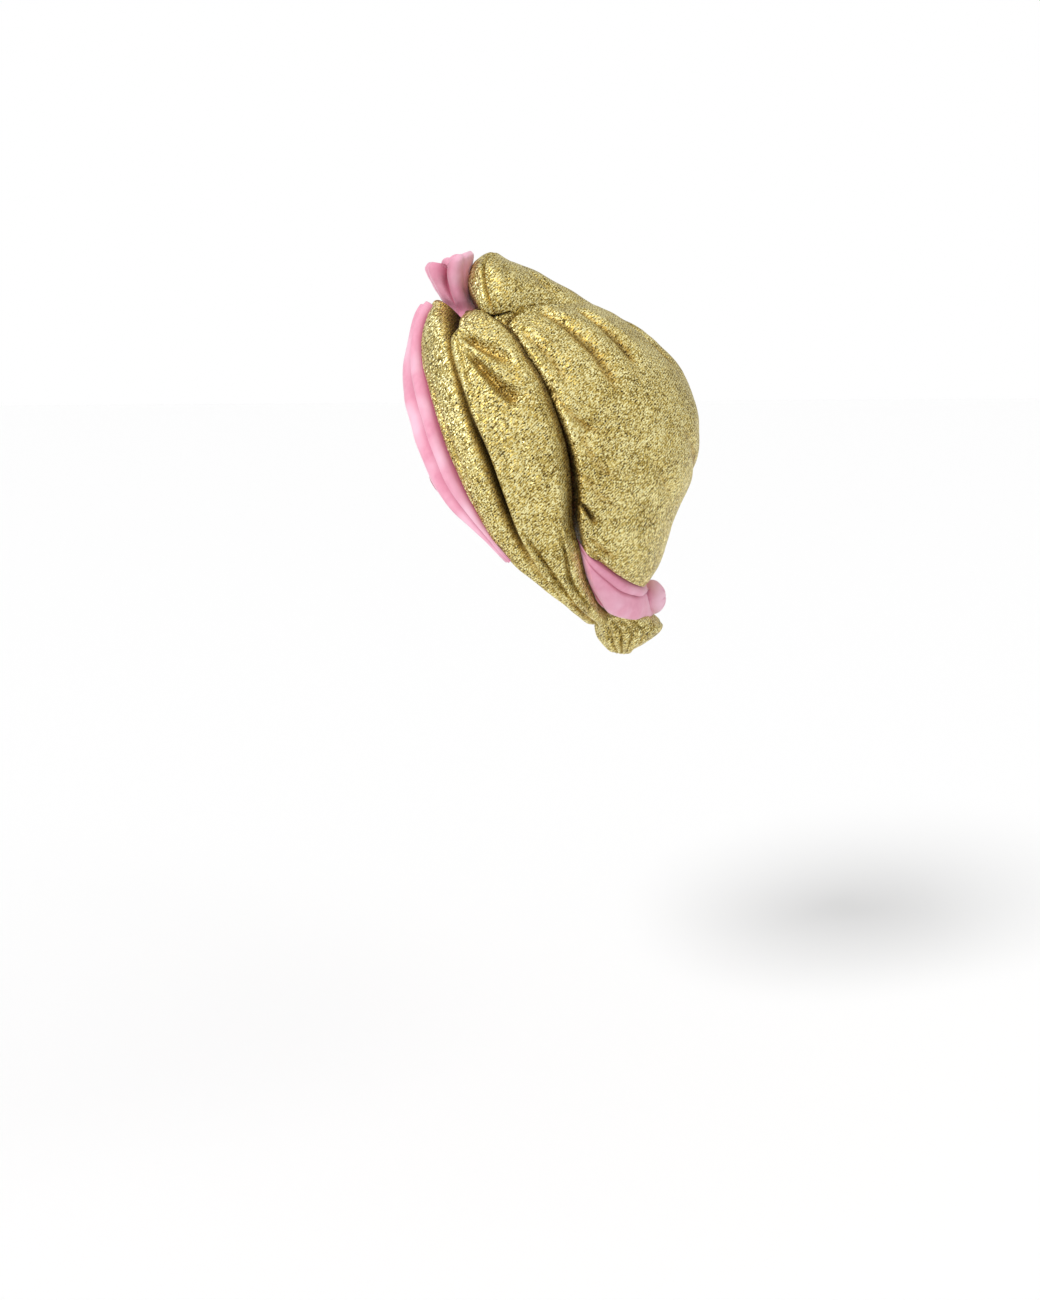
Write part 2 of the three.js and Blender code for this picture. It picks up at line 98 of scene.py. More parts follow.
def from_side(route):
    """Places seen from the side, as [y, z], put on the left half of the form."""
    y, z = np.asarray(route, float).T - CENTRE[1:, None]
    share = np.minimum(np.hypot(y, z) / middle_radius(np.arctan2(z, y)), 1)
    x = HALF_WIDTH * (1 - share**ROUNDNESS) ** (1 / ROUNDNESS)
    return np.column_stack([x, np.asarray(route, float)])


def route_on_form(route):
    """Chosen places on the form. A place is [y, z] seen from the side, or [x, y, z]."""
    places = np.asarray(route, float)
    return from_side(places) if places.shape[1] == 2 else on_form(toward(places))


print("form radius to the left side:", form_radius(np.array([1.0, 0.0, 0.0])).round(1), "mm")

# %% [markdown]
# ## Curves and small helpers
# A seam or a fold is a smooth curve through a few chosen points. The curve below passes through
# each point and never loops, whatever their spacing.

# %% Curves, bells and steps


def smooth_curve(points):
    """A curve through the points, as a function of u from 0 to 1."""
    p = np.asarray(points, float)
    padded = np.vstack([2 * p[0] - p[1], p, 2 * p[-1] - p[-2]])
    spacing = np.maximum(np.linalg.norm(np.diff(padded, axis=0), axis=1), 1e-8) ** 0.5

    def at(u):
        place = np.clip(np.asarray(u, float), 0, 1) * (len(p) - 1)
        i = np.minimum(place.astype(int), len(p) - 2)
        w = (place - i)[..., None]
        p0, p1, p2, p3 = (padded[i + k] for k in range(4))
        d0, d1, d2 = (spacing[i + k][..., None] for k in range(3))
        t1 = ((p1 - p0) / d0 - (p2 - p0) / (d0 + d1) + (p2 - p1) / d1) * d1
        t2 = ((p2 - p1) / d1 - (p3 - p1) / (d1 + d2) + (p3 - p2) / d2) * d1
        cubic = 2 * p1 - 2 * p2 + t1 + t2
        return p1 + t1 * w + (-3 * p1 + 3 * p2 - 2 * t1 - t2) * w**2 + cubic * w**3

    return at


def column(rows, name):
    """One named column of a table, as a smooth function of u from 0 to 1."""
    curve = smooth_curve([[i, row[name]] for i, row in enumerate(rows)])
    return lambda u: curve(u)[..., 1]


def smooth(low, high, x):
    t = np.clip((x - low) / (high - low), 0, 1)
    return t * t * (3 - 2 * t)


def bell(x, width):
    return np.exp(-((x / width) ** 2))


def mirror_x(points):
    return points * np.array([-1.0, 1.0, 1.0])


def left_side(points):
    """The same places on the left half, so that a fold shows on both sides."""
    return np.column_stack([np.abs(points[:, 0]), points[:, 1:]])


def nearest(route, points):
    """For each point, how far the route is, how far along it the nearest place lies, from 0 to
    1, and on which side of the route the point lies, 1 or -1."""
    best = np.full(len(points), np.inf)
    along = np.zeros(len(points))
    side = np.ones(len(points))
    for i, (a, b) in enumerate(zip(route[:-1], route[1:])):
        run = b - a
        t = np.clip((points - a) @ run / (run @ run), 0, 1)
        foot = a + t[:, None] * run
        distance = np.linalg.norm(points - foot, axis=1)
        closer = distance < best
        normal = a - CENTRE
        across = np.cross(normal, run)
        best = np.where(closer, distance, best)
        along = np.where(closer, (i + t) / (len(route) - 1), along)
        side = np.where(closer, np.sign((points - foot) @ across), side)
    return best, along, side


# %% [markdown]
# ## Folds
# Cloth that is pulled into a knot lies in folds that start narrow at the knot and widen as they
# leave it. One side of a fold usually laps over the other, so a fold here is a valley with a
# higher shoulder on one side. Each row of a table is one fold: its route, as [y, z] places seen
# from the side or as [x, y, z] places, how deep it is, its width at the start and end, and its
# lap, which is how high the shoulder rises and, by its sign, on which side. A scooped fold is a
# round hollow in place of a sharp valley.

# %% Folds as heights
FOLD_STEPS = 30


def fold_heights(folds, points):
    """Sum of all folds at the points, which are places on the form."""
    left = left_side(points)
    total = np.zeros(len(points))
    for fold in folds:
        route = smooth_curve(route_on_form(fold["route"]))(np.linspace(0, 1, FOLD_STEPS))
        distance, along, side = nearest(route, left)
        width = fold["start"] + (fold["end"] - fold["start"]) * along
        strength = smooth(-0.02, 0.16, along) * (1 - smooth(0.6, 1.0, along))
        if fold.get("scooped"):
            valley = -fold["depth"] * np.clip(1 - (distance / width) ** 2, 0, 1)
        else:
            valley = -fold["depth"] / (1 + (distance / (0.62 * width)) ** 2) ** 1.5
        lap_side = (side == np.sign(fold["lap"])).astype(float)
        shoulder = np.abs(fold["lap"]) * bell(distance - 1.25 * width, 0.9 * width)
        total += strength * (valley + shoulder * (0.35 + 0.65 * lap_side))
    return total


def ripples(points, size, height, stretch=(1, 1, 1), seed=0.0):
    """Soft unevenness of hand-laid cloth: smooth noise of about this size and height."""
    scale = np.asarray(stretch, float) / size
    return height * np.array([noise.noise(Vector(p * scale) + Vector((seed, seed, seed))) for p in points])


# %% [markdown]
# ## Sheets with a real thickness
# A cloth sheet is a grid of points with a second grid one cloth thickness inside it. Its rim is
# rounded like a turned edge, because a sharp cut rim is what makes modelled cloth look like
# card. The outer face takes the first material and the inner face the second one.

# %% Build one cloth sheet
RIM_ANGLES = np.radians([30, 60, 90])


def with_rims(outer, inner):
    """Adds lines at the first and last row that carry both faces round to where they meet."""
    lines = []
    for edge, inside in ((0, 1), (-1, -2)):
        middle = (outer[edge] + inner[edge]) / 2
        half = (outer[edge] - inner[edge]) / 2
        run = outer[edge] - outer[inside]
        away = run / np.maximum(np.linalg.norm(run, axis=1, keepdims=True), 1e-9)
        away = away * np.linalg.norm(half, axis=1, keepdims=True)
        lines.append(
            [
                (middle + half * np.cos(a) + away * np.sin(a), middle - half * np.cos(a) + away * np.sin(a))
                for a in RIM_ANGLES
            ]
        )
    top, bottom = lines
    return tuple(
        np.concatenate([[pair[k] for pair in top[::-1]], grid, [pair[k] for pair in bottom]])
        for k, grid in enumerate((outer, inner))
    )


def turned(grid):
    return np.swapaxes(grid, 0, 1)


def cloth_places(grid, closed):
    """Where each point lies on the flat cloth: distances across and along it, in metres."""
    line = np.concatenate([grid, grid[:, :1]], axis=1) if closed else grid
    across = np.cumsum(np.linalg.norm(np.diff(line, axis=1, prepend=line[:, :1]), axis=2), axis=1)
    along = np.cumsum(np.linalg.norm(np.diff(line, axis=0, prepend=line[:1]), axis=2), axis=0)
    across -= across[:, [across.shape[1] // 2]]
    return np.stack([across, along], axis=-1) * MM


def quads_of(rows, columns, closed):
    i = np.arange(rows - 1)[:, None]
    j = np.arange(columns if closed else columns - 1)[None, :]
    corners = ((0, 0), (1, 0), (1, 1), (0, 1))
    wrapped = [(i + di) * columns + (j + dj) % columns for di, dj in corners]
    width = columns + 1 if closed else columns
    flat = [(i + di) * width + (j + dj) for di, dj in corners]
    return np.stack(wrapped, -1).reshape(-1, 4), np.stack(flat, -1).reshape(-1, 4)


def cloth_sheet(name, outer, inner, painted_shade=None, closed=False):
    """A mesh object of a sheet. closed joins the last column to the first, as in a sleeve. The
    fourth argument is painted shade: how dark the materials paint each point, mostly by fold depth."""
    pad = len(RIM_ANGLES)
    painted_shade = np.zeros(outer.shape[:2]) if painted_shade is None else painted_shade
    painted_shade = np.pad(painted_shade, ((pad, pad), (0, 0) if closed else (pad, pad)), mode="edge")
    outer, inner = with_rims(outer, inner)
    if not closed:
        outer, inner = (turned(g) for g in with_rims(turned(outer), turned(inner)))
    rows, columns = outer.shape[:2]
    quads, flat = quads_of(rows, columns, closed)
    places = cloth_places(outer, closed).reshape(-1, 2)
    faces = np.concatenate([quads, quads[:, ::-1] + rows * columns])
    uvs = np.concatenate([places[flat], places[flat[:, ::-1]]])
    points = np.concatenate([outer.reshape(-1, 3), inner.reshape(-1, 3)]) * MM
    mesh = bpy.data.meshes.new(name)
    mesh.from_pydata(points.tolist(), [], faces.tolist())
    mesh.uv_layers.new(name="cloth").data.foreach_set("uv", uvs.ravel())
    # Painted shade: this attribute darkens the colour in folds, creases and under edges.
    mesh.attributes.new("painted_shade", "FLOAT", "POINT").data.foreach_set("value", np.tile(painted_shade.ravel(), 2))
    row, column_at = np.divmod(np.arange(len(quads)), columns if closed else columns - 1)
    within = (row >= pad) & (row < rows - 1 - pad)
    if not closed:
        within &= (column_at >= pad) & (column_at < columns - 1 - pad)
    mesh.polygons.foreach_set("material_index", np.concatenate([np.zeros_like(row), within.astype(int)]))
    shell = bmesh.new()
    shell.from_mesh(mesh)
    bmesh.ops.remove_doubles(shell, verts=shell.verts, dist=1e-6)
    bmesh.ops.dissolve_degenerate(shell, edges=shell.edges, dist=1e-7)
    bmesh.ops.recalc_face_normals(shell, faces=shell.faces)
    if shell.calc_volume(signed=True) < 0:
        bmesh.ops.reverse_faces(shell, faces=shell.faces)
    open_edges = sum(1 for edge in shell.edges if not edge.is_manifold)
    shell.to_mesh(mesh)
    shell.free()
    mesh.shade_smooth()
    piece = bpy.data.objects.new(name, mesh)
    bpy.context.scene.collection.objects.link(piece)
    area = sum(polygon.area for polygon in mesh.polygons) / 2
    print(name, "faces:", len(mesh.polygons), "open edges:", open_edges, "cloth:", round(area * 1e4), "cm2")
    return piece


def outward(face):
    """The unit normals of a grid of places, on the side away from the head form's centre."""
    normal = unit(np.cross(np.gradient(face, axis=1), np.gradient(face, axis=0)))
    return normal * np.sign(np.sum(normal * (face - CENTRE)))


def grid_of(rows, columns):
    """All pairs of u and v, each from 0 to 1, for a grid with this many spaces each way."""
    u, v = np.meshgrid(np.linspace(0, 1, rows + 1), np.linspace(0, 1, columns + 1), indexing="ij")
    return u, v


# %% [markdown]
# ## The mound under the knot and the pinch beside it
# The cloth heaps up where the two ends cross above the forehead, so everything near that place
# stands higher on the form. Just behind the knot the band is pinched into a notch that holds the
# velvet twist, and the main folds fan out from the notch's lower end.

# %% Mound and pinch
MOUND_HEIGHT = 21
MOUND_SPREAD_DEG = 22
MOUND_AT = toward([0, -83, 122])
NOTCH_PLACES = [(42, -64, 96), (32, -65, 106), (19, -65, 119)]
NOTCH_ROUTE = smooth_curve(on_form(toward(NOTCH_PLACES)))
NOTCH_DEPTH = 15
NOTCH_SPREAD = 5
SHELF_AT = on_form(toward([29, -58, 115]))
SHELF_DEPTH = 10
SHELF_SPREAD = 13


def mound(direction):
    away = np.degrees(np.arccos(np.clip(direction @ MOUND_AT, -1, 1)))
    return MOUND_HEIGHT * bell(away, MOUND_SPREAD_DEG)


def pinch_dip(points):
    left = left_side(points)
    distance, _, _ = nearest(NOTCH_ROUTE(np.linspace(0, 1, 12)), left)
    shelf = SHELF_DEPTH * bell(np.linalg.norm(left - SHELF_AT, axis=1), SHELF_SPREAD)
    return -NOTCH_DEPTH / (1 + (distance / NOTCH_SPREAD) ** 2) ** 2 - shelf


# %% [markdown]
# ## Places that the photograph shows
# Eleven folds of the bands and the crown are given by pixels of the photograph, listed along
# each fold. A pixel says only in which direction a place lies. So the line of sight through
# it is followed from the side inwards, until it meets cloth of a stated height over the form. The
# camera at the end of the script stands in the same place, so these folds show near their pixels.

# %% From a pixel to a place on the cloth
PHOTO_HEIGHT = 1300
PHOTO_MIDDLE = (520, 650)
TARGET_PIXEL = (548, 456)
MM_PER_PIXEL = 0.7
CAMERA_TARGET = np.array([0.0, 0.0, 10.0])
CAMERA_AWAY = 1400
CAMERA_AZIMUTH = math.radians(85)
CAMERA_RISE = math.radians(6)
CAMERA_LEVEL = math.cos(CAMERA_RISE)
SIGHT = np.array(
    [
        math.sin(CAMERA_AZIMUTH) * CAMERA_LEVEL,
        -math.cos(CAMERA_AZIMUTH) * CAMERA_LEVEL,
        math.sin(CAMERA_RISE),
    ]
)
CAMERA_PLACE = CAMERA_TARGET + SIGHT * CAMERA_AWAY
IMAGE_RIGHT = unit(np.array([-SIGHT[1], SIGHT[0], 0.0]))
IMAGE_UP = np.cross(SIGHT, IMAGE_RIGHT)
SIDE_STEPS = np.arange(130, -10, -0.25)


def on_photo(pixels, height, heaped=False, nudges=None):
    """Places where the lines of sight through the pixels meet the cloth, rounded to a tenth of a
    millimetre and then to the millimetre. heaped says that the cloth also lies on the mound under
    the knot. nudges says how far places, by their number, are then moved."""
    places = []
    for right, down in pixels:
        offset = (right - TARGET_PIXEL[0]) * IMAGE_RIGHT + (TARGET_PIXEL[1] - down) * IMAGE_UP
        run = CAMERA_TARGET + offset * MM_PER_PIXEL - CAMERA_PLACE
        line = CAMERA_PLACE + ((SIDE_STEPS - CAMERA_PLACE[0]) / run[0])[:, None] * run
        direction = toward(line)
        above = np.linalg.norm(line - CENTRE, axis=1) - form_radius(direction)
        cloth = height + mound(direction) if heaped else height
        places.append(line[np.argmax(above <= cloth)].round(1).round())
    for number, shift in (nudges or {}).items():
        places[number] = places[number] + np.array(shift)
    return places


# %% Pixels along the folds
FRONT_FOLD_PIXELS = [(430, 356), (434, 400), (453, 456), (472, 495)]
UPPER_HOLLOW_PIXELS = [(462, 338), (478, 345), (500, 354), (524, 366)]
LOWER_HOLLOW_PIXELS = [(466, 350), (482, 369), (500, 386), (515, 397), (523, 402)]
KNOT_TUCK_PIXELS = [(457, 332), (463, 356), (470, 380), (478, 402)]
BACK_FOLD_PIXELS = [(536, 366), (552, 414), (561, 456), (567, 495), (571, 540)]
LOW_FOLD_PIXELS = [(522, 526), (549, 568), (573, 600)]
CROWN_SIDE_PIXELS = [(543, 371), (556, 395), (575, 415), (596, 430), (620, 440)]
CROWN_MIDDLE_PIXELS = [(516, 326), (540, 345), (562, 370), (580, 395)]
CROWN_UPPER_PIXELS = [(535, 308), (560, 320), (590, 345), (612, 375), (625, 410)]
CROWN_TOP_PIXELS = [(575, 306), (600, 322), (625, 345), (645, 380)]
CROWN_LOW_PIXELS = [(583, 540), (596, 553), (612, 572), (634, 585)]


# %% [markdown]
# ## Side bands
# A gold band runs down each side from the knot to the nape. It is a puffed strip between the
# velvet seam in front and a deep crease behind. One long crease, the split, divides it. The
# table has one row for each section from the knot to the nape: the places of the seam and of the
# rear edge, the share of the way between them where the split lies, and the split's depth.

# %% Side band tables
BAND_SECTIONS = [
    {"seam": (12, -84, 121), "rear": (36, -50, 113), "split": 0.46, "depth": 4},
    {"seam": (22, -92, 100), "rear": (56, -31, 100), "split": 0.4, "depth": 5},
    {"seam": (32, -91, 80), "rear": (70, -21, 85), "split": 0.36, "depth": 5},
    {"seam": (46, -86, 62), "rear": (79, -11, 68), "split": 0.33, "depth": 6},
    {"seam": (57, -80, 43), "rear": (84, -2, 45), "split": 0.32, "depth": 7},
    {"seam": (66, -72, 20), "rear": (86, 5, 20), "split": 0.34, "depth": 9},
    {"seam": (71, -61, -2), "rear": (86, 8, -5), "split": 0.35, "depth": 9.5},
    {"seam": (74, -48, -27), "rear": (83, 9, -29), "split": 0.36, "depth": 7},
    {"seam": (73, -31, -51), "rear": (78, 14, -46), "split": 0.35, "depth": 2.5},
    {"seam": (68, -10, -69), "rear": (72, 19, -66), "split": 0.34, "depth": 1},
    {"seam": (56, 9, -84), "rear": (59, 28, -85), "split": 0.4, "depth": 3},
    {"seam": (32, 26, -106), "rear": (34, 41, -104), "split": 0.45, "depth": 4},
]
SPLIT_WIDTH = 2.7
SPLIT_LAP = 2.2
SPLIT_LAP_AWAY = 5
SPLIT_LAP_SPREAD = 4
BAND_PUFF = 6
BAND_FRONT_DROP = 1.2
BAND_EDGE_DROP = 8
GAPE_AT = 0.56
GAPE_SPREAD = 0.2
BAND_FOLDS = [
    {
        "route": on_photo(FRONT_FOLD_PIXELS, height=5, nudges={0: (0, 0, 2)}),
        "depth": 2.4, "start": 1.6, "end": 3, "lap": -0.8,
    },
    {
        "route": on_photo(UPPER_HOLLOW_PIXELS, height=5, heaped=True, nudges={0: (-2, 0, 2), 1: (0, 0, 1)}),
        "depth": 5.5, "start": 2, "end": 8, "lap": 0.8, "scooped": True,
    },
    {
        "route": on_photo(LOWER_HOLLOW_PIXELS, height=5, heaped=True),
        "depth": 6.8, "start": 1.8, "end": 8, "lap": 1.4, "scooped": True,
    },
    {
        "route": on_photo(KNOT_TUCK_PIXELS, height=5, heaped=True, nudges={0: (0, 0, -2)}),
        "depth": 2.6, "start": 1, "end": 2.6, "lap": 1,
    },
    {
        "route": on_photo(BACK_FOLD_PIXELS, height=6),
        "depth": 2.2, "start": 2, "end": 3, "lap": 0.9,
    },
    {
        "route": [(88, -28, 40), (88, -22, 15), (87, -17, -8), (84, -10, -35)],
        "depth": 1.4, "start": 4, "end": 7, "lap": 0.7,
    },
    {
        "route": on_photo(LOW_FOLD_PIXELS, height=4) + [(52, 24, -98)],
        "depth": 4.5, "start": 1.8, "end": 3, "lap": 1.4,
    },
    {
        "route": [(88, -2, -20), (84, 4, -45), (76, 8, -62), (64, 20, -82), (46, 32, -98)],
        "depth": 4.6, "start": 1.4, "end": 2.4, "lap": 1.4,
    },
    {"route": [(78, -22, -48), (70, -2, -68), (55, 14, -90)], "depth": 1.6, "start": 3, "end": 4, "lap": 0.6},
]

seam_rail = smooth_curve([toward(s["seam"]) for s in BAND_SECTIONS])
crease_rail = smooth_curve([toward(s["rear"]) for s in BAND_SECTIONS])
rear_route = smooth_curve([on_form(toward(s["rear"])) for s in BAND_SECTIONS])(np.linspace(0, 1, 80))
seam_line = on_form(unit(seam_rail(np.linspace(0, 1, 99))))
seam_length = np.linalg.norm(np.diff(seam_line, axis=0), axis=1).sum()
print("seam length on one side:", round(float(seam_length)), "mm")

# %% Side band shape
BAND_ROWS = 230
BAND_COLUMNS = 110


def side_band():
    u, v = grid_of(BAND_ROWS, BAND_COLUMNS)
    split = column(BAND_SECTIONS, "split")(u)
    direction = unit(seam_rail(u) + (crease_rail(u) - seam_rail(u)) * v[..., None])
    points = on_form(direction).reshape(-1, 3)
    width = np.linalg.norm(on_form(unit(seam_rail(u))) - on_form(unit(crease_rail(u))), axis=-1)
    from_split = (v - split) * width
    split_width = SPLIT_WIDTH * (0.5 + 0.5 * smooth(0.1, 0.45, u))
    crease = -column(BAND_SECTIONS, "depth")(u) / (1 + (from_split / split_width) ** 2) ** 1.5
    lap = SPLIT_LAP * bell(from_split - SPLIT_LAP_AWAY, SPLIT_LAP_SPREAD) * smooth(0.04, 0.2, u)
    puff = BAND_PUFF * np.sin(math.pi * np.clip(v, 0.03, 0.97)) ** 0.5
    rear_drop = BAND_EDGE_DROP * (0.4 + 0.6 * bell(u - GAPE_AT, GAPE_SPREAD))
    rear_roll = -rear_drop * smooth(0.86, 1, v)
    front_roll = -BAND_FRONT_DROP * (1 - smooth(0, 0.06, v))
    folds = fold_heights(BAND_FOLDS, points).reshape(u.shape) * (1 - smooth(0.78, 0.93, v))
    wrinkles = ripples(points, 16, 0.7, stretch=(1, 1.3, 0.5)).reshape(u.shape)
    wrinkles += ripples(points, 6, 0.25, seed=9).reshape(u.shape)
    dip = pinch_dip(points).reshape(u.shape)
    # Painted shade: the folds, the split crease, the pinch and the rolled-under rear edge are painted darker.
    painted_shade = 0.4 * folds + 0.8 * crease + 0.35 * dip - 5 * smooth(0.93, 1, v)
    height = puff + rear_roll + front_roll + mound(direction) + folds + dip + crease + lap + wrinkles
    return on_form(direction, height), on_form(direction, height - CLOTH), painted_shade


band_outer, band_inner, band_painted_shade = side_band()
side_band_left = cloth_sheet("band_cloth_left", band_outer, band_inner, band_painted_shade)
side_band_right = cloth_sheet("band_cloth_right", mirror_x(band_outer), mirror_x(band_inner), band_painted_shade)

# %% [markdown]
# ## Crown
# The crown is one sheet over the head. Its lines run over the head from a point low on the left
# to one low on the right, as a wrapped cloth's own threads do. In front it dives under the side
# bands, and long soft folds run back from the knot.

# %% Crown table and shape
CROWN_FRONT_DEG = 123
CROWN_BACK_DEG = -56
CROWN_REACH = 0.965
CROWN_POLE = np.array([77.0, -20.0, -30.0])
CROWN_UNDER_BAND = -13
CROWN_RISE = 9
CROWN_OVERLAP = 5
CROWN_ROWS = 210
CROWN_COLUMNS = 180
CROWN_FOLDS = [
    {
        "route": on_photo(CROWN_SIDE_PIXELS, height=1),
        "depth": 3.4, "start": 2, "end": 5, "lap": 1.6,
    },
    {
        "route": on_photo(CROWN_MIDDLE_PIXELS, height=1),
        "depth": 2.2, "start": 3, "end": 9, "lap": 1.4,
    },
    {
        "route": [(54, -36, 105), (45, -25, 112), (40, -15, 116), (32, 4, 119), (26, 13, 120)],
        "depth": 8, "start": 3, "end": 4, "lap": -2.4,
    },
    {
        "route": on_photo(CROWN_UPPER_PIXELS, height=1),
        "depth": 3.5, "start": 4, "end": 10, "lap": 1.6,
    },
    {
        "route": on_photo(CROWN_TOP_PIXELS, height=1),
        "depth": 3.9, "start": 5, "end": 8, "lap": 1.6,
    },
    {"route": [(14, 50, 110), (24, 72, 88), (32, 86, 60)], "depth": 3, "start": 6, "end": 9, "lap": 1},
    {"route": [(0, 64, 96), (-20, 84, 66), (-30, 94, 30)], "depth": 2, "start": 6, "end": 9, "lap": 1},
    {"route": [(88, 15, -13), (86, 21, -22), (84, 27, -31)], "depth": 7, "start": 2.4, "end": 3, "lap": -2},
    {"route": [(84, 20, -36), (79, 31, -47), (70, 46, -57)], "depth": 3, "start": 2.4, "end": 6, "lap": 1},
    {
        "route": on_photo(
            CROWN_LOW_PIXELS,
            height=1,
            nudges={0: (0, -2, 3), 1: (0, 0, -3), 2: (0, 0, -3), 3: (0, 0, -3)},
        ),
        "depth": 2.2, "start": 2.4, "end": 5, "lap": 1,
    },
    {"route": [(12, 40), (22, 20), (34, 6), (50, -4)], "depth": 1.8, "start": 6, "end": 9, "lap": 0.8},
    {"route": [(14, 10), (26, -6), (44, -18)], "depth": 1.5, "start": 5, "end": 8, "lap": 0.6},
    {"route": [(60, 20), (74, -2), (84, -26)], "depth": 1.4, "start": 6, "end": 10, "lap": 0.8},
    {"route": [(84, 40), (98, 14), (100, -14)], "depth": 1.6, "start": 6, "end": 10, "lap": 0.8},
]
ROLL_FOLDS = [
    {
        "route": [
            (3, -32, 140), (20, -40, 136), (34, -45, 131),
            (44, -46, 126), (50, -44, 118), (54, -42, 108),
        ],
        "depth": 6, "start": 1.2, "end": 2, "lap": 2,
    },
    {"route": [(20, -22, 140), (32, -30, 134), (44, -30, 124)], "depth": 2, "start": 2, "end": 4, "lap": 1},
    {"route": [(12, -14, 138), (26, -4, 130), (34, 8, 122)], "depth": 2.2, "start": 3, "end": 6, "lap": 1.2},
]


def crown_place(u, v):
    angle = np.radians(CROWN_FRONT_DEG + (CROWN_BACK_DEG - CROWN_FRONT_DEG) * u)
    across = (2 * v - 1) * CROWN_REACH
    share = np.cos(across * math.pi / 2)
    radius = middle_radius(angle)
    x = np.sin(across * math.pi / 2) * CROWN_POLE[0]
    y = share * np.cos(angle) * radius + (1 - share) * CROWN_POLE[1]
    z = share * np.sin(angle) * radius + (1 - share) * CROWN_POLE[2]
    return unit(np.stack([x, y, z], axis=-1))


def dive_under_band(points, ordinary):
    """Lets the crown down where it passes under a band, later where the crease gapes."""
    distance, along, side = nearest(rear_route, left_side(points))
    start = -CROWN_OVERLAP * (1 - bell(along - GAPE_AT, GAPE_SPREAD))
    rise = smooth(start, start + CROWN_RISE, distance * side)
    return CROWN_UNDER_BAND + (ordinary - CROWN_UNDER_BAND) * rise


def crown():
    u, v = grid_of(CROWN_ROWS, CROWN_COLUMNS)
    direction = crown_place(u, v)
    points = on_form(direction).reshape(-1, 3)
    folds = fold_heights(CROWN_FOLDS, points)
    wrinkles = ripples(points, 24, 1.0, seed=4) + ripples(points, 8, 0.3, seed=2)
    height = dive_under_band(points, folds + wrinkles)
    # Painted shade: darker down in the folds and where the crown dives under a band.
    painted_shade = np.minimum(height, 0.5 * folds)
    height, painted_shade = height.reshape(u.shape), painted_shade.reshape(u.shape)
    return on_form(direction, height), on_form(direction, height - CLOTH), painted_shade


crown_outer, crown_inner, crown_painted_shade = crown()
crown_cloth = cloth_sheet("crown_cloth", crown_outer, crown_inner, crown_painted_shade)

# %% [markdown]
# ## Velvet edges
# In front the cloth is turned out, so its pink velvet back shows as a soft rolled edge below the
# gold. It starts tucked under the gold edge, swells in two soft ridges, turns round at its lower
# edge and runs back under itself. The path says that in steps: across is the share of the way
# from the gold edge to the lower edge, and height the height above the form.

# %% Velvet edge tables
VELVET_WALL = 1.9
VELVET_LOWER_LEFT = [
    (-9, -90, 114), (-14, -99, 98), (-10, -102, 80), (0, -101, 58), (22, -99, 42), (42, -92, 20),
    (53, -84, -2), (62, -68, -26), (70, -44, -49),
]
VELVET_LOWER_RIGHT = [
    (-11.5, -90, 114), (-17, -99, 98), (-14, -102, 80), (-9, -101, 61), (-23, -99, 42), (-42, -92, 20),
    (-53, -84, -2), (-62, -68, -26), (-70, -44, -49),
]
VELVET_PATH = [
    {"across": -0.08, "height": -2.6},
    {"across": 0.06, "height": -2.2},
    {"across": 0.13, "height": 2},
    {"across": 0.3, "height": 5.4},
    {"across": 0.44, "height": 1.4},
    {"across": 0.74, "height": 6},
    {"across": 0.95, "height": 2.8},
    {"across": 1, "height": 0},
    {"across": 0.9, "height": -2.2},
    {"across": 0.6, "height": -2.8},
]
PATH_STEPS = 54
VELVET_ROWS = 170


def always(value):
    return lambda u: np.full_like(u, value)


def rolled_edge(
    name,
    upper,
    lower,
    path,
    rows,
    lift,
    fullness,
    inward,
    tuck=always(1.0),
    hang=always(0.0),
    taper=always(1.0),
):
    """A rolled sheet between two rails. inward, 1 or -1, is the side its thickness lies on."""
    u, v = grid_of(rows, PATH_STEPS)
    across = column(path, "across")(v)
    height = column(path, "height")(v)
    share = np.where(across < 0, across * tuck(u), across * taper(u))
    direction = unit(upper(u) + (lower(u) - upper(u)) * share[..., None])
    points = on_form(direction).reshape(-1, 3)
    soft = ripples(points, 15, 1.5, stretch=(1, 1.2, 0.35), seed=6).reshape(u.shape) * (height > 0)
    swell = np.where(height > 0, height * fullness(u), height) + hang(u) * across**2 + soft
    face = on_form(direction, lift(direction) + swell)
    along = upper(np.clip(u + 0.01, 0, 1)) - upper(np.clip(u - 0.01, 0, 1))
    run = np.gradient(face, axis=1)
    inner = face + inward * VELVET_WALL * unit(np.cross(run, along))
    # Painted shade: a deeper pink where the path lies low, at the tucked edge and the turn.
    return cloth_sheet(name, face, inner, np.minimum(height - 4, 0))


def velvet_edge(name, mirror, lower_places):
    seams = [toward(np.array(s["seam"]) * (mirror, 1, 1)) for s in BAND_SECTIONS[: len(lower_places)]]
    return rolled_edge(
        name,
        upper=smooth_curve(seams),
        lower=smooth_curve([toward(p) for p in lower_places]),
        path=VELVET_PATH,
        rows=VELVET_ROWS,
        lift=mound,
        fullness=lambda u: 1 - 0.6 * smooth(0.6, 1, u),
        inward=-mirror,
        taper=lambda u: 1 - 0.72 * smooth(0.72, 1, u),
    )


velvet_left = velvet_edge("velvet_cloth_left", 1, VELVET_LOWER_LEFT)
velvet_right = velvet_edge("velvet_cloth_right", -1, VELVET_LOWER_RIGHT)

# %% [markdown]
# ## Gold roll over the crown
# Behind the knot one end of the cloth lies over the crown as a fat roll that flattens out toward
# the back, where its rim sinks into the crown so that the two read as one cloth. Its rows run
# along the middle plane: angle is in degrees up from the back, half the half-width in degrees and
# rise the height above the form.

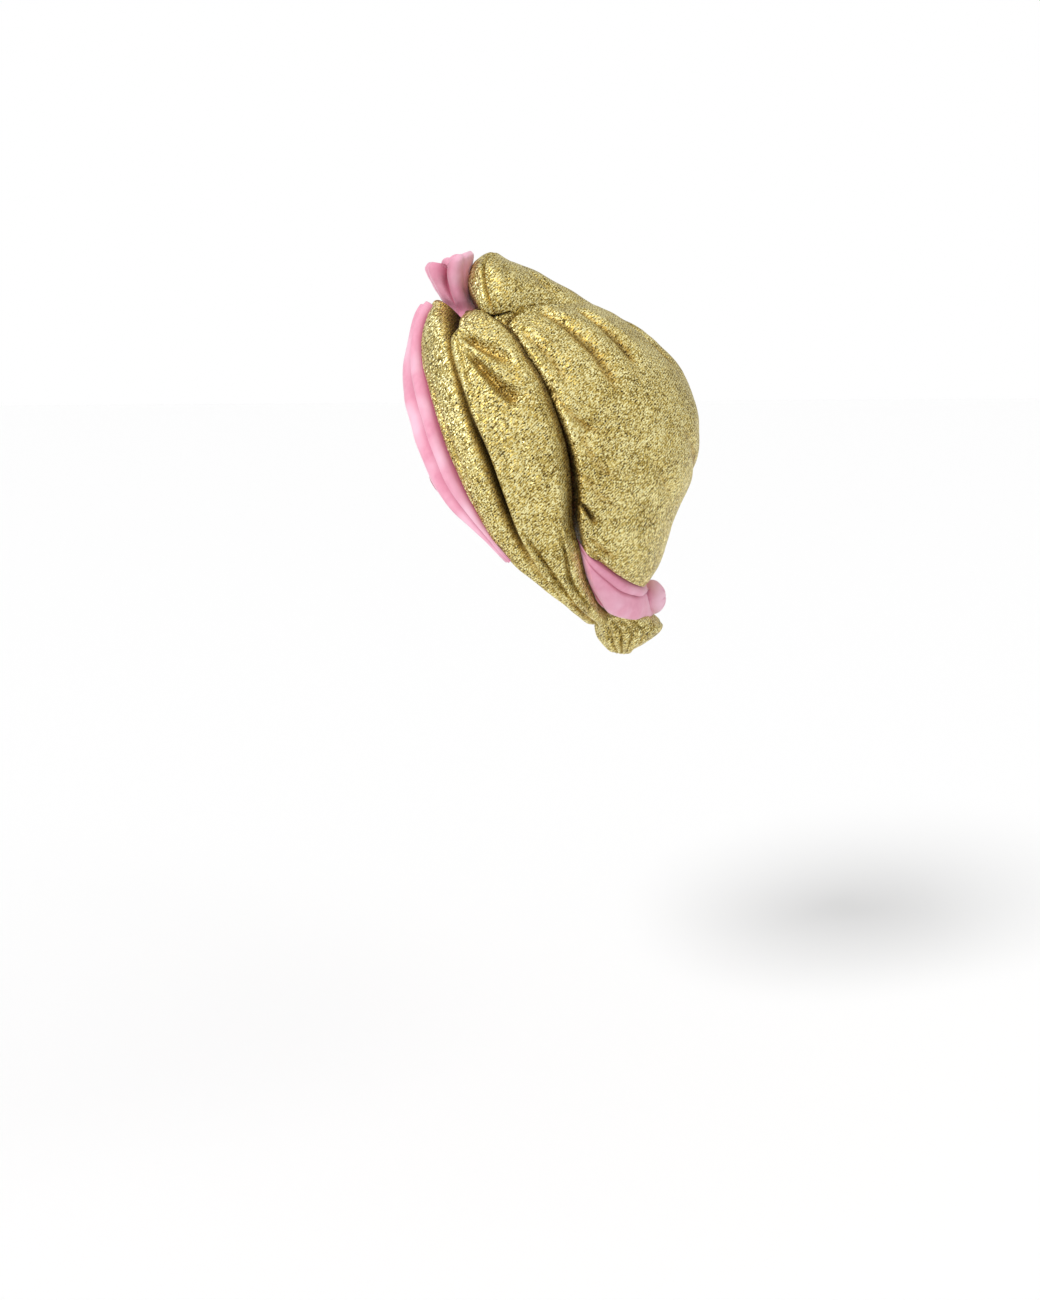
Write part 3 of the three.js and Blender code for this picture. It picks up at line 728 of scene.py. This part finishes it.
# %% Gold roll
ROLL_GAP = 0.4
ROLL_SINK = 1.6
ROLL_ROWS = 120
ROLL_COLUMNS = 110
ROLL_SECTIONS = [
    {"angle": 119.6, "half": 16, "rise": 3},
    {"angle": 119.4, "half": 19, "rise": 12},
    {"angle": 117.6, "half": 21, "rise": 21},
    {"angle": 113.4, "half": 22.5, "rise": 30},
    {"angle": 109, "half": 23, "rise": 32.5},
    {"angle": 104, "half": 22.5, "rise": 26},
    {"angle": 98, "half": 20, "rise": 20},
    {"angle": 92, "half": 18, "rise": 15},
    {"angle": 86, "half": 15, "rise": 10.5},
    {"angle": 80, "half": 11, "rise": 6},
    {"angle": 75, "half": 7, "rise": 3},
]


def gold_roll():
    u, v = grid_of(ROLL_ROWS, ROLL_COLUMNS)
    up = np.radians(column(ROLL_SECTIONS, "angle")(u))
    across = np.radians(column(ROLL_SECTIONS, "half")(u) * (2 * v - 1))
    share = np.cos(across)
    direction = np.stack([np.sin(across), share * np.cos(up), share * np.sin(up)], axis=-1)
    edge = CLOTH + ROLL_GAP
    round_share = np.maximum(1 - np.abs(2 * v - 1) ** 2.2, 0) ** 0.6
    rise = np.maximum(column(ROLL_SECTIONS, "rise")(u) - edge, 0.2)
    points = on_form(direction).reshape(-1, 3)
    merged = smooth(0.4, 0.75, u)
    lift = edge * (1 - merged) - ROLL_SINK * merged
    beneath = fold_heights(CROWN_FOLDS, points).reshape(u.shape) * smooth(0.25, 0.5, u)
    face = on_form(direction, beneath + lift + rise * round_share)
    normal = outward(face)
    folds = fold_heights(ROLL_FOLDS, points).reshape(u.shape)
    soft = ripples(face.reshape(-1, 3), 15, 1.3, stretch=(1, 0.6, 1), seed=3).reshape(u.shape)
    face = face + normal * ((folds + soft) * smooth(0, 0.12, 1 - np.abs(2 * v - 1)))[..., None]
    # Painted shade: darker in the roll's folds, and its front face is painted dark as if in shadow.
    painted_shade = 0.6 * folds - 5.5 * (1 - smooth(0.1, 0.2, u))
    return face, face - outward(face) * CLOTH, painted_shade


roll_outer, roll_inner, roll_painted_shade = gold_roll()
roll_cloth = cloth_sheet("roll_cloth", roll_outer, roll_inner, roll_painted_shade)

# %% [markdown]
# ## Velvet twist and gold tail
# Both are bundles of gathered cloth. Gathered cloth stands in round ridges with sharp valleys
# between them, never in even waves, so the ridges below are pushed together on one side and turn
# as they run along the bundle. Each row of a table is one ring: its middle, its half sizes, how
# deep its valleys are, and lean, how much higher the back of the ring is. The last rings turn
# over the end and run back inside, so that the bundle ends in a soft puckered pit and not in a
# cut edge. The twist's first two rings spread out under the bands and the roll, and close the
# opening between them.

# %% Gathered bundles
TWIST_RINGS = [
    {"y": -60, "z": 99.5, "halfX": 29, "halfY": 20.5, "valley": 0.4, "lean": 0},
    {"y": -60, "z": 103, "halfX": 23, "halfY": 15, "valley": 1, "lean": 0},
    {"y": -59.5, "z": 112, "halfX": 14, "halfY": 11, "valley": 3, "lean": 0},
    {"y": -63.5, "z": 120, "halfX": 17.5, "halfY": 11.5, "valley": 6, "lean": -0.1},
    {"y": -67, "z": 129, "halfX": 21, "halfY": 13.5, "valley": 10, "lean": 0},
    {"y": -69, "z": 138, "halfX": 24.5, "halfY": 16.5, "valley": 13, "lean": 0.1},
    {"y": -69, "z": 146, "halfX": 26, "halfY": 18.5, "valley": 14, "lean": 0.24},
    {"y": -69, "z": 149.5, "halfX": 23, "halfY": 15.5, "valley": 13, "lean": 0.26},
    {"y": -68, "z": 144, "halfX": 18, "halfY": 10.5, "valley": 9, "lean": 0.2},
    {"y": -67, "z": 134, "halfX": 11, "halfY": 6, "valley": 3, "lean": 0.1},
    {"y": -66, "z": 127, "halfX": 0.15, "halfY": 0.12, "valley": 0, "lean": 0.1},
]
TWIST_VALLEYS = [
    {"foot": -14, "top": -18, "width": 24, "depth": 1},
    {"foot": 52, "top": 40, "width": 7, "depth": 0.08},
    {"foot": -70, "top": -80, "width": 9, "depth": 0.2},
    {"foot": 112, "top": 120, "width": 15, "depth": 0.5},
    {"foot": 165, "top": 172, "width": 8, "depth": 0.16},
    {"foot": 208, "top": 220, "width": 20, "depth": 0.9},
]
TAIL_RINGS = [
    {"y": 50, "z": -93, "halfX": 36, "halfY": 15, "valley": 0.8, "lean": 0.3},
    {"y": 50, "z": -99, "halfX": 35, "halfY": 18.5, "valley": 1.6, "lean": 0.1},
    {"y": 54, "z": -104.5, "halfX": 32, "halfY": 22.5, "valley": 3, "lean": 0},
    {"y": 57.5, "z": -110.5, "halfX": 31.5, "halfY": 24.6, "valley": 4, "lean": 0},
    {"y": 55, "z": -118, "halfX": 28, "halfY": 20.5, "valley": 5.5, "lean": 0},
    {"y": 53, "z": -124.5, "halfX": 21, "halfY": 14.5, "valley": 5, "lean": 0},
    {"y": 52.5, "z": -129.5, "halfX": 12, "halfY": 7.5, "valley": 2.6, "lean": 0},
    {"y": 52.5, "z": -128, "halfX": 6.5, "halfY": 4, "valley": 0.8, "lean": 0},
    {"y": 52.5, "z": -122, "halfX": 3.2, "halfY": 2.6, "valley": 0.1, "lean": 0},
]


def ridges(angle, count, turn):
    """From -1 in a sharp valley to 0 on a round ridge, with ridges of uneven width."""
    uneven = angle + 0.28 * np.sin(2 * angle + 1.1) + 0.12 * np.sin(3 * angle) + turn
    return np.abs(np.cos(uneven * count / 2)) ** 0.55 - 1


def valleys_at(angle, u, valleys):
    """The same measure for valleys given in a table: degrees round the bundle at foot and top."""
    total = np.zeros_like(u)
    for valley in valleys:
        middle = np.radians(valley["foot"] + (valley["top"] - valley["foot"]) * np.minimum(u / 0.6, 1))
        away = np.degrees(np.abs(np.angle(np.exp(1j * (angle - middle)))))
        width = valley["width"] * (0.35 + 0.65 * np.minimum(u / 0.5, 1))
        total -= valley["depth"] / (1 + (away / width) ** 2) ** 1.3
    return np.maximum(total, -1.1)


def bundle(name, rings, shape, ragged=0.0, sides=240, rows=130):
    u, v = grid_of(rows, sides)
    u, v = u[:, :-1], v[:, :-1]
    y, z, half_x, half_y, valley, lean = (
        column(rings, key)(u) for key in ("y", "z", "halfX", "halfY", "valley", "lean")
    )
    angle = 2 * math.pi * v
    ridge = shape(angle, u)
    reach = valley * ridge
    back = (half_y + reach) * np.sin(angle)
    x = (half_x + reach) * np.cos(angle)
    crest = ragged * valley * ridge
    face = np.stack([x, y + back, z + lean * back + crest], axis=-1)
    soft = ripples(face.reshape(-1, 3), 9, 0.8, seed=5).reshape(u.shape)
    around = np.roll(face, -1, axis=1) - np.roll(face, 1, axis=1)
    normal = unit(np.cross(around, np.gradient(face, axis=0)))
    normal = normal * np.sign(np.sum(normal[:, :, 1] * np.sin(angle)))
    face = face + normal * soft[..., None]
    # Painted shade: the valleys of the gathered ridges are painted darker.
    return cloth_sheet(name, face, face - normal * CLOTH * 0.6, 0.4 * reach, closed=True)


twist_cloth = bundle("twist_cloth", TWIST_RINGS, lambda a, u: valleys_at(a, u, TWIST_VALLEYS), ragged=0.5)
tail_cloth = bundle("tail_cloth", TAIL_RINGS, lambda a, u: ridges(a, 11, -1.1 * u))

# %% [markdown]
# ## Velvet strip and knot at the nape
# Under the crown's lower edge the velvet is turned out once more, as a strip that grows toward
# the middle and ends in a small soft knot.

# %% Nape strip and knot
NAPE_SECTIONS = [
    {"across": 0.1, "lower": (75, 14, -55)},
    {"across": 0.135, "lower": (67, 20.5, -69)},
    {"across": 0.19, "lower": (56, 31, -86)},
    {"across": 0.29, "lower": (42, 43, -96)},
    {"across": 0.4, "lower": (22, 62.5, -100.5)},
    {"across": 0.5, "lower": (0, 73, -101)},
]
NAPE_PATH = [
    {"across": -0.12, "height": -3.7},
    {"across": 0.05, "height": -3.1},
    {"across": 0.1, "height": 1.6},
    {"across": 0.19, "height": 3.6},
    {"across": 0.28, "height": 3.4},
    {"across": 0.335, "height": 0.2},
    {"across": 0.4, "height": 4.6},
    {"across": 0.56, "height": 8.2},
    {"across": 0.78, "height": 8.2},
    {"across": 0.95, "height": 4},
    {"across": 1, "height": 0},
    {"across": 0.88, "height": -1.4},
]
NAPE_ROWS = 200
KNOT_MIDDLE = np.array([0, 74, -91])
KNOT_HALF = np.array([17, 9.8, 12])


def nape_strip():
    left = np.array([s["lower"] for s in NAPE_SECTIONS], float) - CENTRE
    lower_curve = smooth_curve([*left, *mirror_x(left[:-1])[::-1]])
    shares = [s["across"] - 0.5 for s in NAPE_SECTIONS]
    share_curve = smooth_curve([[s, 0, 0] for s in [*shares, *(-s for s in shares[-2::-1])]])

    def upper(u):
        return crown_place(np.ones_like(u), 0.5 - share_curve(u)[..., 0])

    def hang(u):
        place = lower_curve(u)
        return np.maximum(np.linalg.norm(place, axis=-1) - form_radius(unit(place)), 0)

    def lift(direction):
        points = on_form(direction).reshape(-1, 3)
        return dive_under_band(points, 0).reshape(direction.shape[:-1])

    return rolled_edge(
        "nape_cloth",
        upper,
        lambda u: unit(lower_curve(u)),
        NAPE_PATH,
        NAPE_ROWS,
        lift,
        fullness=lambda u: 0.2 + 0.8 * smooth(0.12, 0.42, np.minimum(u, 1 - u)),
        inward=-1,
        tuck=lambda u: smooth(0.05, 0.3, np.minimum(u, 1 - u)),
        hang=hang,
    )


def nape_knot():
    """A soft ball of bunched cloth whose pleats run out from a small pit at the back."""
    ball = bmesh.new()
    bmesh.ops.create_icosphere(ball, subdivisions=6, radius=1)
    painted_shade = []
    for vertex in ball.verts:
        a, b, c = vertex.co
        out = math.hypot(a, c)
        turn = math.atan2(c, a)
        pleat = abs(math.cos(3.5 * turn + 1.2 * math.sin(turn) + 1.5 * out)) ** 0.6 - 1
        depth = 0.1 * pleat * math.sin(math.pi * min(out * 1.05, 1)) ** 0.8
        pit = 0.16 * math.exp(-((out / 0.16) ** 2)) if b > 0 else 0
        vertex.co = Vector(KNOT_MIDDLE + KNOT_HALF * (a, b - pit, c) * (1 + depth)) * MM
        # Painted shade: darker in the pleat valleys and in the pit.
        painted_shade.append(20 * depth - 12 * pit)
    mesh = bpy.data.meshes.new("knot_cloth")
    ball.to_mesh(mesh)
    ball.free()
    mesh.attributes.new("painted_shade", "FLOAT", "POINT").data.foreach_set("value", painted_shade)
    mesh.shade_smooth()
    piece = bpy.data.objects.new("knot_cloth", mesh)
    bpy.context.scene.collection.objects.link(piece)
    return piece


nape_cloth = nape_strip()
knot_cloth = nape_knot()

# %% [markdown]
# ## Materials
# Gold lamé is a weave of flat metallic threads. From near by it is a field of tiny bright and
# dark flecks in slanting rows; from far away it is a soft metal with dark folds. The shade in the
# folds, creases and under edges is painted into its colour from each piece's shade attribute.

# %% Node helpers
def new_material(name):
    material = bpy.data.materials.new(name)
    material.use_nodes = True
    return material, material.node_tree, material.node_tree.nodes["Principled BSDF"]


def node(tree, kind, **values):
    made = tree.nodes.new(kind)
    for key, value in values.items():
        setattr(made, key, value)
    return made


def ramp(tree, source, stops):
    made = tree.nodes.new("ShaderNodeValToRGB")
    elements = made.color_ramp.elements
    while len(elements) < len(stops):
        elements.new(0.5)
    for element, (place, colour) in zip(elements, stops):
        element.position = place
        element.color = (*colour, 1)
    tree.links.new(source, made.inputs["Fac"])
    return made.outputs["Color"]


# %% Gold lamé
FLECK = 0.0006
FLECK_STRETCH = 2.1
FLECK_TILT = 0.9
TWILL_ROW = 0.0016


def gold_lame():
    material, tree, shader = new_material("gold_lame")
    links = tree.links
    place = node(tree, "ShaderNodeTexCoord").outputs["Object"]
    slant = node(tree, "ShaderNodeMapping", vector_type="TEXTURE")
    slant.inputs["Rotation"].default_value = (math.radians(-45), 0, 0)
    slant.inputs["Scale"].default_value = (1, 1, FLECK_STRETCH)
    links.new(place, slant.inputs["Vector"])
    flecks = node(tree, "ShaderNodeTexVoronoi")
    flecks.inputs["Scale"].default_value = 1 / FLECK
    links.new(slant.outputs["Vector"], flecks.inputs["Vector"])
    twill = node(tree, "ShaderNodeTexWave", bands_direction="Y")
    twill.inputs["Scale"].default_value = math.pi / (TWILL_ROW * 10)
    twill.inputs["Distortion"].default_value = 1.2
    twill.inputs["Detail Scale"].default_value = 3
    links.new(slant.outputs["Vector"], twill.inputs["Vector"])
    worn = node(tree, "ShaderNodeTexNoise")
    worn.inputs["Scale"].default_value = 55
    worn.inputs["Detail"].default_value = 3
    links.new(place, worn.inputs["Vector"])
    mixed = node(tree, "ShaderNodeMix", data_type="FLOAT")
    mixed.inputs["Factor"].default_value = 0.16
    links.new(flecks.outputs["Color"], mixed.inputs["A"])
    links.new(twill.outputs["Fac"], mixed.inputs["B"])
    shifted = node(tree, "ShaderNodeMath", operation="MULTIPLY_ADD")
    shifted.inputs[1].default_value = 0.36
    links.new(worn.outputs["Fac"], shifted.inputs[0])
    links.new(mixed.outputs["Result"], shifted.inputs[2])
    tone = ramp(
        tree,
        shifted.outputs["Value"],
        [
            (0.30, (0.035, 0.022, 0.006)),
            (0.49, (0.26, 0.175, 0.034)),
            (0.69, (0.66, 0.50, 0.125)),
            (0.92, (1.0, 0.93, 0.50)),
        ],
    )
    # Painted shade: the shade attribute darkens the lamé's colour through this ramp, to near black in the
    # deepest creases.
    painted_shade = node(tree, "ShaderNodeAttribute", attribute_name="painted_shade").outputs["Fac"]
    depth = node(tree, "ShaderNodeMapRange")
    depth.inputs["From Min"].default_value = -6
    depth.inputs["From Max"].default_value = 0
    links.new(painted_shade, depth.inputs["Value"])
    shade = ramp(
        tree,
        depth.outputs["Result"],
        [
            (0, (0.10, 0.08, 0.045)),
            (0.35, (0.36, 0.29, 0.17)),
            (0.65, (0.82, 0.71, 0.52)),
            (0.9, (1, 1, 1)),
        ],
    )
    dark = node(tree, "ShaderNodeMix", data_type="RGBA", blend_type="MULTIPLY")
    dark.inputs["Factor"].default_value = 1
    links.new(tone, dark.inputs["A"])
    links.new(shade, dark.inputs["B"])
    links.new(dark.outputs["Result"], shader.inputs["Base Color"])
    tilt = node(tree, "ShaderNodeVectorMath", operation="MULTIPLY_ADD")
    tilt.inputs[1].default_value = (FLECK_TILT,) * 3
    tilt.inputs[2].default_value = (-FLECK_TILT / 2,) * 3
    links.new(flecks.outputs["Color"], tilt.inputs[0])
    facing = node(tree, "ShaderNodeVectorMath", operation="ADD")
    links.new(node(tree, "ShaderNodeNewGeometry").outputs["Normal"], facing.inputs[0])
    links.new(tilt.outputs["Vector"], facing.inputs[1])
    level = node(tree, "ShaderNodeVectorMath", operation="NORMALIZE")
    links.new(facing.outputs["Vector"], level.inputs[0])
    links.new(level.outputs["Vector"], shader.inputs["Normal"])
    shader.inputs["Metallic"].default_value = 0.75
    shader.inputs["Roughness"].default_value = 0.44
    return material


gold = gold_lame()

# %% [markdown]
# Velvet has a short pile. It looks paler where the pile has been brushed over, so a broad noise
# mixes in a lighter pink. A deeper pink is painted in as shade in the valleys and low parts.

# %% Pink velvet
PILE_SCALE = 240
NAP_SCALE = 42


def pink_velvet():
    material, tree, shader = new_material("pink_velvet")
    links = tree.links
    place = node(tree, "ShaderNodeTexCoord").outputs["Object"]
    pile = node(tree, "ShaderNodeTexNoise")
    pile.inputs["Scale"].default_value = PILE_SCALE
    links.new(place, pile.inputs["Vector"])
    tone = ramp(tree, pile.outputs["Fac"], [(0.3, (0.76, 0.31, 0.43)), (0.7, (0.82, 0.37, 0.49))])
    nap = node(tree, "ShaderNodeTexNoise")
    nap.inputs["Scale"].default_value = NAP_SCALE
    nap.inputs["Detail"].default_value = 1
    links.new(place, nap.inputs["Vector"])
    brushed = node(tree, "ShaderNodeMapRange")
    brushed.inputs["From Min"].default_value = 0.42
    brushed.inputs["From Max"].default_value = 0.68
    brushed.inputs["To Max"].default_value = 0.75
    links.new(nap.outputs["Fac"], brushed.inputs["Value"])
    lit = node(tree, "ShaderNodeMix", data_type="RGBA")
    lit.inputs["B"].default_value = (0.92, 0.6, 0.72, 1)
    links.new(brushed.outputs["Result"], lit.inputs["Factor"])
    links.new(tone, lit.inputs["A"])
    # Painted shade: a deeper pink from the shade attribute in the valleys and near the turned edges.
    painted_shade = node(tree, "ShaderNodeAttribute", attribute_name="painted_shade").outputs["Fac"]
    shade = node(tree, "ShaderNodeMapRange")
    shade.inputs["From Min"].default_value = -5
    shade.inputs["From Max"].default_value = 0
    links.new(painted_shade, shade.inputs["Value"])
    painted_valley_shade = node(tree, "ShaderNodeMix", data_type="RGBA")
    painted_valley_shade.inputs["A"].default_value = (0.52, 0.13, 0.21, 1)
    links.new(shade.outputs["Result"], painted_valley_shade.inputs["Factor"])
    links.new(lit.outputs["Result"], painted_valley_shade.inputs["B"])
    links.new(painted_valley_shade.outputs["Result"], shader.inputs["Base Color"])
    shader.inputs["Roughness"].default_value = 0.9
    shader.inputs["Sheen Weight"].default_value = 1
    shader.inputs["Sheen Roughness"].default_value = 0.35
    shader.inputs["Sheen Tint"].default_value = (1, 0.85, 0.93, 1)
    return material


velvet = pink_velvet()


# %% Thread for the stitches
def gold_thread():
    material, tree, shader = new_material("gold_thread")
    shader.inputs["Base Color"].default_value = (0.42, 0.28, 0.07, 1)
    shader.inputs["Metallic"].default_value = 0.35
    shader.inputs["Roughness"].default_value = 0.55
    return material


thread = gold_thread()

# %% [markdown]
# ## Stitches along the gold edges
# The lamé and the velvet are sewn together along their edges, so a row of small stitches follows
# each gold edge. Geometry Nodes lays them: the path becomes a curve, points are set along it at an
# even spacing, and each point carries one stitch that lies along the path.

# %% Geometry Nodes group for a row of stitches
STITCH_SPACING = 0.0027
STITCH_LENGTH = 0.0017
STITCH_RADIUS = 0.00026
STITCH_SEED = 7


def stitch_group():
    group = bpy.data.node_groups.new("stitch_row", "GeometryNodeTree")
    ports = group.interface
    ports.new_socket("Path", in_out="INPUT", socket_type="NodeSocketGeometry")
    for port in ("Spacing", "Length", "Radius"):
        ports.new_socket(port, in_out="INPUT", socket_type="NodeSocketFloat")
    ports.new_socket("Seed", in_out="INPUT", socket_type="NodeSocketInt")
    ports.new_socket("Thread", in_out="INPUT", socket_type="NodeSocketMaterial")
    ports.new_socket("Stitches", in_out="OUTPUT", socket_type="NodeSocketGeometry")
    given = node(group, "NodeGroupInput").outputs
    links = group.links
    curve = node(group, "GeometryNodeMeshToCurve")
    links.new(given["Path"], curve.inputs["Mesh"])
    spots = node(group, "GeometryNodeCurveToPoints", mode="LENGTH")
    links.new(curve.outputs["Curve"], spots.inputs["Curve"])
    links.new(given["Spacing"], spots.inputs["Length"])
    stitch = node(group, "GeometryNodeMeshUVSphere")
    stitch.inputs["Segments"].default_value = 8
    stitch.inputs["Rings"].default_value = 6
    stitch.inputs["Radius"].default_value = 1
    half = node(group, "ShaderNodeMath", operation="MULTIPLY")
    half.inputs[1].default_value = 0.5
    links.new(given["Length"], half.inputs[0])
    size = node(group, "ShaderNodeCombineXYZ")
    links.new(given["Radius"], size.inputs["X"])
    links.new(given["Radius"], size.inputs["Y"])
    links.new(half.outputs["Value"], size.inputs["Z"])
    uneven = node(group, "FunctionNodeRandomValue", data_type="FLOAT")
    uneven.inputs[2].default_value = 0.85
    uneven.inputs[3].default_value = 1.15
    links.new(given["Seed"], uneven.inputs["Seed"])
    varied = node(group, "ShaderNodeVectorMath", operation="SCALE")
    links.new(size.outputs["Vector"], varied.inputs[0])
    links.new(uneven.outputs[1], varied.inputs["Scale"])
    laid = node(group, "GeometryNodeInstanceOnPoints")
    links.new(spots.outputs["Points"], laid.inputs["Points"])
    links.new(stitch.outputs["Mesh"], laid.inputs["Instance"])
    links.new(spots.outputs["Rotation"], laid.inputs["Rotation"])
    links.new(varied.outputs["Vector"], laid.inputs["Scale"])
    real = node(group, "GeometryNodeRealizeInstances")
    links.new(laid.outputs["Instances"], real.inputs["Geometry"])
    smoothed = node(group, "GeometryNodeSetShadeSmooth")
    links.new(real.outputs["Geometry"], smoothed.inputs[0])
    finish = node(group, "GeometryNodeSetMaterial")
    links.new(smoothed.outputs[0], finish.inputs["Geometry"])
    links.new(given["Thread"], finish.inputs["Material"])
    links.new(finish.outputs["Geometry"], node(group, "NodeGroupOutput").inputs["Stitches"])
    return group


stitches = stitch_group()
print("stitch inputs:", [item.name for item in stitches.interface.items_tree if item.item_type == "SOCKET"])

# %% Lay the stitches


def stitch_row(name, path):
    """A row of stitches along a path of places in millimetres, as one plain mesh."""
    mesh = bpy.data.meshes.new(name + "_path")
    mesh.from_pydata((path * MM).tolist(), [(i, i + 1) for i in range(len(path) - 1)], [])
    carrier = bpy.data.objects.new(name + "_path", mesh)
    bpy.context.scene.collection.objects.link(carrier)
    modifier = carrier.modifiers.new("stitch_row", "NODES")
    modifier.node_group = stitches
    values = {
        "Spacing": STITCH_SPACING,
        "Length": STITCH_LENGTH,
        "Radius": STITCH_RADIUS,
        "Seed": STITCH_SEED,
        "Thread": thread,
    }
    for item in stitches.interface.items_tree:
        if item.item_type == "SOCKET" and item.name in values:
            modifier[item.identifier] = values[item.name]
    bpy.context.view_layer.update()
    graph = bpy.context.evaluated_depsgraph_get()
    plain = bpy.data.meshes.new_from_object(carrier.evaluated_get(graph))
    bpy.data.objects.remove(carrier)
    row = bpy.data.objects.new(name, plain)
    bpy.context.scene.collection.objects.link(row)
    print(name, "faces:", len(plain.polygons))
    return row


SEAM_COLUMN = 4
HEM_ROW = -3
SEAM_ENDS = 4
HEM_ENDS = 20
seam_path = band_outer[SEAM_ENDS:-SEAM_ENDS, SEAM_COLUMN]
hem_path = crown_outer[HEM_ROW, HEM_ENDS:-HEM_ENDS]
stitch_rows = [
    stitch_row("stitches_left", seam_path),
    stitch_row("stitches_right", mirror_x(seam_path)),
    stitch_row("stitches_nape", hem_path),
]
for row in stitch_rows:
    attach(row, "root")

# %% [markdown]
# ## Give each piece its finish and its place on the frame
# The lamé pieces are gold outside and velvet inside. Each piece stands for the CAD node of the
# same shape.

# %% Ride and replace
FINISHES = [
    {"piece": crown_cloth, "node": "crown", "flat": (0.27, 0.28), "held": "stretched", "on": []},
    {
        "piece": side_band_left, "node": "side_band_left",
        "flat": (0.08, 0.29), "held": "gathered", "on": ["crown"],
    },
    {
        "piece": side_band_right, "node": "side_band_right",
        "flat": (0.08, 0.29), "held": "gathered", "on": ["crown"],
    },
    {
        "piece": velvet_left, "node": "velvet_edge_left",
        "flat": (0.045, 0.21), "held": "folded", "on": ["side_band_left"],
    },
    {
        "piece": velvet_right, "node": "velvet_edge_right",
        "flat": (0.045, 0.21), "held": "folded", "on": ["side_band_right"],
    },
    {"piece": roll_cloth, "node": "knot_gold_roll", "flat": (0.10, 0.12), "held": "folded", "on": ["crown"]},
    {
        "piece": twist_cloth, "node": "knot_velvet_twist",
        "flat": (0.15, 0.05), "held": "gathered", "on": ["crown"],
    },
    {
        "piece": tail_cloth, "node": "nape_tail",
        "flat": (0.17, 0.06), "held": "gathered", "on": ["nape_velvet_roll"],
    },
    {
        "piece": nape_cloth, "node": "nape_velvet_roll",
        "flat": (0.05, 0.21), "held": "folded", "on": ["crown"],
    },
    {"piece": knot_cloth, "node": "nape_knot", "flat": None},
]
VELVET_NODES = {"velvet_edge_left", "velvet_edge_right", "knot_velvet_twist", "nape_velvet_roll", "nape_knot"}
for row in FINISHES:
    piece = row["piece"]
    is_velvet = row["node"] in VELVET_NODES
    outer_face = velvet if is_velvet else gold
    inner_face = gold if row["node"] == "nape_tail" else velvet
    for material in (outer_face, inner_face):
        piece.data.materials.append(material)
    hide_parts(row["node"])
    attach(piece, "root")
    if row["flat"]:
        area = sum(polygon.area for polygon in piece.data.polygons) / 2
        width, length = row["flat"]
        print(row["node"], "cloth over flat:", round(area / (width * length), 2))

# %% [markdown]
# ## Studio and camera
# A pale floor far below and soft light from the front left and above.

# %% Floor, lights and camera
FLOOR_Z = -0.42
FLOOR_HALF = 6
floor_corners = [(x * FLOOR_HALF, y * FLOOR_HALF, FLOOR_Z) for x, y in ((-1, -1), (1, -1), (1, 1), (-1, 1))]
floor_mesh = bpy.data.meshes.new("floor")
floor_mesh.from_pydata(floor_corners, [], [(0, 1, 2, 3)])
floor = bpy.data.objects.new("floor", floor_mesh)
bpy.context.scene.collection.objects.link(floor)
floor_paint, _, floor_shader = new_material("pale_floor")
floor_shader.inputs["Base Color"].default_value = (0.93, 0.93, 0.93, 1)
floor_shader.inputs["Roughness"].default_value = 0.8
floor.data.materials.append(floor_paint)

world = bpy.data.worlds.new("studio")
bpy.context.scene.world = world
world.use_nodes = True
backdrop = world.node_tree.nodes["Background"]
backdrop.inputs["Color"].default_value = (1, 1, 1, 1)
seen = world.node_tree.nodes.new("ShaderNodeLightPath").outputs["Is Camera Ray"]
strength = world.node_tree.nodes.new("ShaderNodeMapRange")
strength.inputs["To Min"].default_value = 0.55
strength.inputs["To Max"].default_value = 1.0
world.node_tree.links.new(seen, strength.inputs["Value"])
world.node_tree.links.new(strength.outputs["Result"], backdrop.inputs["Strength"])
bpy.context.scene.view_settings.view_transform = "Standard"


def soft_sun(name, toward_light, spread_deg, power):
    light = bpy.data.lights.new(name, "SUN")
    light.angle = math.radians(spread_deg)
    light.energy = power
    lamp = bpy.data.objects.new(name, light)
    bpy.context.scene.collection.objects.link(lamp)
    lamp.rotation_euler = Vector(toward_light).to_track_quat("Z", "Y").to_euler()


soft_sun("key", (0.75, -0.75, 1.1), 22, 1.9)
soft_sun("fill", (0.3, 0.9, 0.9), 60, 0.5)

SENSOR = 36
camera_data = bpy.data.cameras.new("camera")
camera = bpy.data.objects.new("camera", camera_data)
bpy.context.scene.collection.objects.link(camera)
camera.location = CAMERA_PLACE * MM
camera.rotation_euler = Vector(SIGHT).to_track_quat("Z", "Y").to_euler()
camera_data.sensor_fit = "VERTICAL"
camera_data.sensor_height = SENSOR
camera_data.lens = SENSOR * CAMERA_AWAY / (PHOTO_HEIGHT * MM_PER_PIXEL)
camera_data.shift_x = (PHOTO_MIDDLE[0] - TARGET_PIXEL[0]) / PHOTO_HEIGHT
camera_data.shift_y = (TARGET_PIXEL[1] - PHOTO_MIDDLE[1]) / PHOTO_HEIGHT
bpy.context.scene.camera = camera
